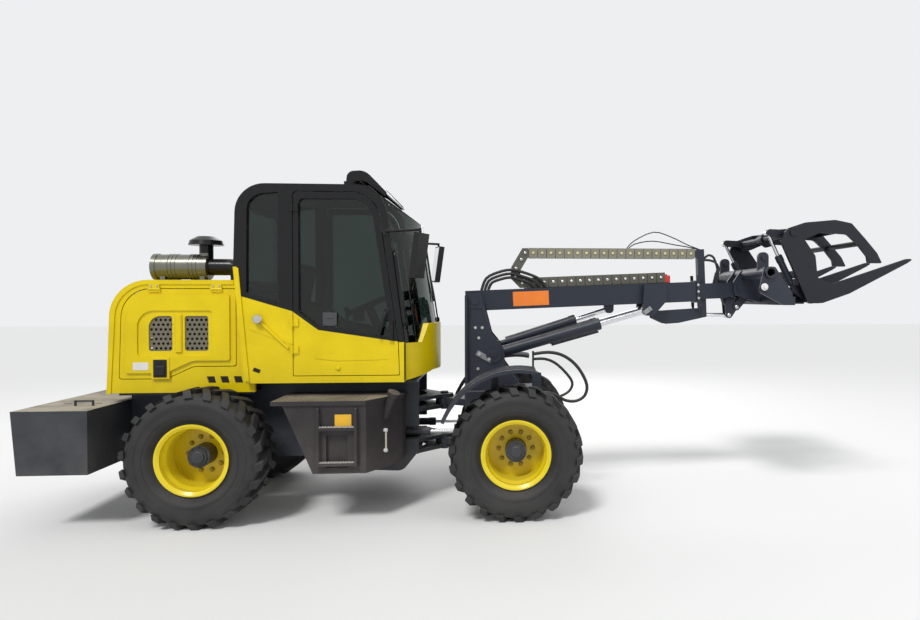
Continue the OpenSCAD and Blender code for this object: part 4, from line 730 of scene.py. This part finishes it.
def cushion(name, centre, size, lean, channels):
    """Superellipsoid |x/a|^m + |y/b|^m + |z/c|^m = 1 with m = 2 / ROUNDNESS, crowned, with channels along X."""
    nu, nv = 64, 40
    u, v = np.meshgrid(np.linspace(-math.pi, math.pi, nu, endpoint=False),
                       np.linspace(-math.pi / 2, math.pi / 2, nv))

    def power(q):
        return np.sign(q) * np.abs(q) ** ROUNDNESS

    a, b, c = np.array(size) / 2
    x = a * power(np.cos(v)) * power(np.cos(u))
    y = b * power(np.cos(v)) * power(np.sin(u))
    z = c * power(np.sin(v))
    crown = 1 + CROWN * np.cos(np.clip(y / b, -1, 1) * math.pi / 2) * (z > 0)
    groove = sum((np.exp(-((y - k * b) / GROOVE_W) ** 2) for k in channels), np.zeros_like(y))
    z = z * crown - GROOVE * groove * (z > c * 0.5)
    points = turn_y(np.stack([x, y, z], -1).reshape(-1, 3), lean) + centre
    obj = add(name, points, grid_faces(nv, nu), mat_seat, "rear_frame", "seat_cover", smooth=True)


seat_base = merge([slab(at(-1730, 0, 1140), (0.34, 0.40, 0.09), edge=0.1),
                   slab(at(-1730, 0, 1235), (0.30, 0.36, 0.12), edge=0.1),
                   slab(at(-1720, 0, 1308), (0.42, 0.44, 0.03), edge=0.2)])
base = add("seat_base", *seat_base, mat_plastic, "rear_frame", "black")
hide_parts("seat")
cushion("seat_cushion", at(-1720, 0, 1378), (0.48, 0.50, 0.12), -4, (-0.55, 0.55))
cushion("seat_back", at(-1905, 0, 1740), (0.62, 0.47, 0.11), -78, (-0.55, 0.55))
cushion("seat_head", at(-1968, 0, 2110), (0.15, 0.24, 0.08), -82, ())


# Boom and tower: blank plates, keeper plates with bolts, pin ends

KEEPER = (-268, 1236)                   # middle of the tower's keeper plate in the side view
KEEPER_LEAN = math.radians(30)
TOWER_BOLTS = ((-345, 1490), (-285, 1490), (-315, 1400), (-322, 1130))
LIFT_PIN = (1530, -152)                 # lift cylinders' pin in the boom's axes
PIN_CAP = [(0.030, -0.002), (0.030, 0.006), (0.022, 0.010)]

for side, tag in SIDES:
    out = (0, side, 0)
    c, s = math.cos(BOOM_TILT), math.sin(BOOM_TILT)
    plate = slab(on_boom(496, side * 101.2, 0), (0.320, 0.0024, 0.128), (c, 0, s), (-s, 0, c), edge=0.2)
    add(f"boom_plate_{tag}", *plate, mat_orange, "outer_boom", "slate")
    x, z = KEEPER
    c, s = math.cos(KEEPER_LEAN), math.sin(KEEPER_LEAN)
    keeper = slab(at(x, side * 206, z), (0.150, 0.012, 0.046), (c, 0, -s))
    add(f"tower_keeper_{tag}", *keeper, mat_tower_keeper, "front_frame", "slate")
    heads = [hex_bolt(at(x + d * 0.866, side * 212, z - d * 0.5), out, 0.022, 0.014) for d in (-48, 48)]
    heads += [hex_bolt(at(bx, side * 200, bz), out, 0.018, 0.012) for bx, bz in TOWER_BOLTS]
    add(f"tower_bolts_{tag}", *merge(heads), mat_steel, "front_frame", "chrome")
    x, z = LIFT_PIN
    lug = [slab(on_boom(x, side * 180, z), (0.085, 0.010, 0.040), (0.8, 0, 0.6), edge=0.15)]
    lug += [hex_bolt(on_boom(x + k * 22, side * 185, z + k * 16), out, 0.02, 0.012) for k in (1, -1)]
    add(f"lift_keeper_{tag}", *merge(lug), mat_keeper, "outer_boom", "chrome")
    ends = merge([turned(at(2054, side * 735, 1841), out, PIN_CAP),
                  hex_bolt(at(2054, side * 744, 1841), out, 0.024, 0.014)])
    add(f"carriage_pins_{tag}", *ends, mat_white, "grapple", "chrome")


# Head: pin heads of the tilt linkage, collar screws and the white tow hook

LEVER = on_boom(2308, 0, -109)          # tilt lever's pivot
HEAD_PIN = on_boom(2407, 0, 16)
PIN_END = [(0.017, -0.001), (0.017, 0.006), (0.011, 0.010)]


def pin_ends(pivot, dx, dy, dz):
    """Heads on both ends of a pin that lies at an offset from a pivot."""
    return [turned(pivot + np.array([dx, side * dy, dz]), (0, side, 0), PIN_END, 20) for side, _ in SIDES]


add("lever_pins", *merge(pin_ends(LEVER, 0.010, 0.050, -0.119)), mat_steel, "tilt_lever", "chrome")
link_ends = pin_ends(LEVER, 0.076, 0.068, -0.045) + pin_ends(HEAD_PIN, 0.080, 0.068, -0.060)
add("link_pins", *merge(link_ends), mat_steel, "tilt_link", "chrome")
collar = [hex_bolt(on_boom(2017, side * 116, z), (0, side, 0), 0.016, 0.010)
          for side, _ in SIDES for z in (-60, 0, 60)]
add("collar_screws", *merge(collar), mat_steel, "outer_boom", "chrome")
HOOK = [(2300, 1842), (2272, 1836), (2240, 1818), (2236, 1790), (2262, 1768), (2300, 1762)]
add("tow_hook", *tube([at(x, -640, z) for x, z in HOOK], 0.011), mat_white, "grapple", "chrome")


# Steps: serrated treads on the rungs, tread sheet on the box, blank plate, level gauge

RUNGS = (470, 740)                      # middles of the rungs
RUNG_Y = 953
TOOTH = [(0.009, 0), (0.007, 0.006), (0.004, 0.007)]
SHEET = [(-1850, 620), (-1850, 940), (-1155, 940), (-1000, 680), (-1000, 620)]
GAUGE_END = [(0.016, 0), (0.016, 0.022), (0.010, 0.027)]


def tread(side):
    """Toothed strips on both rungs of a ladder."""
    parts = []
    for z in RUNGS:
        parts.append(slab(at(-1363, side * RUNG_Y, z + 25.5), (0.280, 0.040, 0.004), edge=0.2))
        parts += [turned(at(x, side * RUNG_Y, z + 27), (0, 0, 1), TOOTH, 8)
                  for x in np.arange(-1492, -1230, 22)]
    return merge(parts)


def top_sheet(side):
    """Tread sheet over the step box, with slanting raised bars in alternating rows."""
    parts = [between(*([at(x, side * y, z) for x, y in SHEET] for z in (962, 965)))]
    for i, x in enumerate(np.arange(-1830, -1175, 34)):
        for j, y in enumerate(np.arange(640, 930, 34)):
            lean = 1 if (i + j) % 2 else -1
            parts.append(slab(at(x, side * y, 966), (0.026, 0.007, 0.003), (1, lean, 0), edge=0.3))
    return merge(parts)


for side, tag in SIDES:
    add(f"rung_treads_{tag}", *tread(side), mat_rung, "rear_frame", "slate")
    add(f"step_sheet_{tag}", *top_sheet(side), mat_tread, "rear_frame", "slate")
    plate = slab(at(-1322, side * 931.5, 811), (0.125, 0.003, 0.095), edge=0.2)
    add(f"step_plate_{tag}", *plate, mat_amber, "rear_frame", "slate")
    gauge = at(-1030, side * 743, 0)
    sight = tube([gauge + np.array([0, 0, z]) for z in (0.545, 0.62, 0.695)], 0.008)
    add(f"level_gauge_{tag}", *sight, mat_gauge, "rear_frame", "glass")
    ends = [turned(gauge + np.array([-0.013, -side * 0.0075, z]), (0.869, side * 0.496, 0), GAUGE_END, 16)
            for z in (0.54, 0.70)]
    add(f"gauge_ends_{tag}", *merge(ends), mat_white, "rear_frame", "chrome")


# Light and floor

SUN_POWER, SUN_SPREAD = 1.9, math.radians(14)
SUN_WAY = Vector((0.26, 0.58, -0.77))
SKY = (0.97, 0.98, 1.0, 1)
SKY_LIGHT = 0.50        # strength at which the sky lights the object
SKY_SEEN = 0.88         # strength at which the camera, metal and glass see it
FLOOR_HALF = 40.0


def aim(obj, way):
    """Turns a lamp so that it shines along a direction, and puts it in the scene."""
    obj.rotation_euler = way.to_track_quat("-Z", "Y").to_euler()
    bpy.context.scene.collection.objects.link(obj)


def area(name, location, target, size, power):
    """A square lamp that faces a point."""
    lamp_data = bpy.data.lights.new(name, "AREA")
    lamp_data.size = size
    lamp_data.energy = power
    lamp = bpy.data.objects.new(name, lamp_data)
    lamp.location = location
    aim(lamp, Vector(target) - Vector(location))


def make_world():
    """Pale sky that lights the object at one strength and shows as a near-white backdrop at another."""
    world = bpy.data.worlds.new("studio")
    world.use_nodes = True
    t = world.node_tree
    path = t.nodes.new("ShaderNodeLightPath").outputs
    seen = math_node(t, "MAXIMUM", path["Is Camera Ray"], path["Is Transmission Ray"])
    seen = math_node(t, "MAXIMUM", seen, path["Is Glossy Ray"])
    sky = t.nodes["Background"]
    set_inputs(sky, Color=SKY)
    t.links.new(ramp(t, seen, 0.0, 1.0, SKY_LIGHT, SKY_SEEN), sky.inputs["Strength"])
    bpy.context.scene.world = world


sun_data = bpy.data.lights.new("key", "SUN")
sun_data.energy = SUN_POWER
sun_data.angle = SUN_SPREAD
aim(bpy.data.objects.new("key", sun_data), SUN_WAY)
area("fill", (5.5, -5.0, 4.0), (0.5, 0, 1.2), 6.0, 90)
area("back", (-1.0, 7.0, 6.0), (0, 0, 1.0), 6.0, 260)
make_world()
floor_mesh = bpy.data.meshes.new("floor")
corners = [(sx * FLOOR_HALF, sy * FLOOR_HALF, 0) for sx, sy in ((-1, -1), (1, -1), (1, 1), (-1, 1))]
floor_mesh.from_pydata(corners, [], [(0, 1, 2, 3)])
floor_mat, _, floor_shader = new_material("pale_floor")
set_inputs(floor_shader, Base_Color=(0.84, 0.84, 0.83, 1), Roughness=0.85, Specular_IOR_Level=0.1)
floor_mesh.materials.append(floor_mat)
floor = bpy.data.objects.new("floor", floor_mesh)
bpy.context.scene.collection.objects.link(floor)
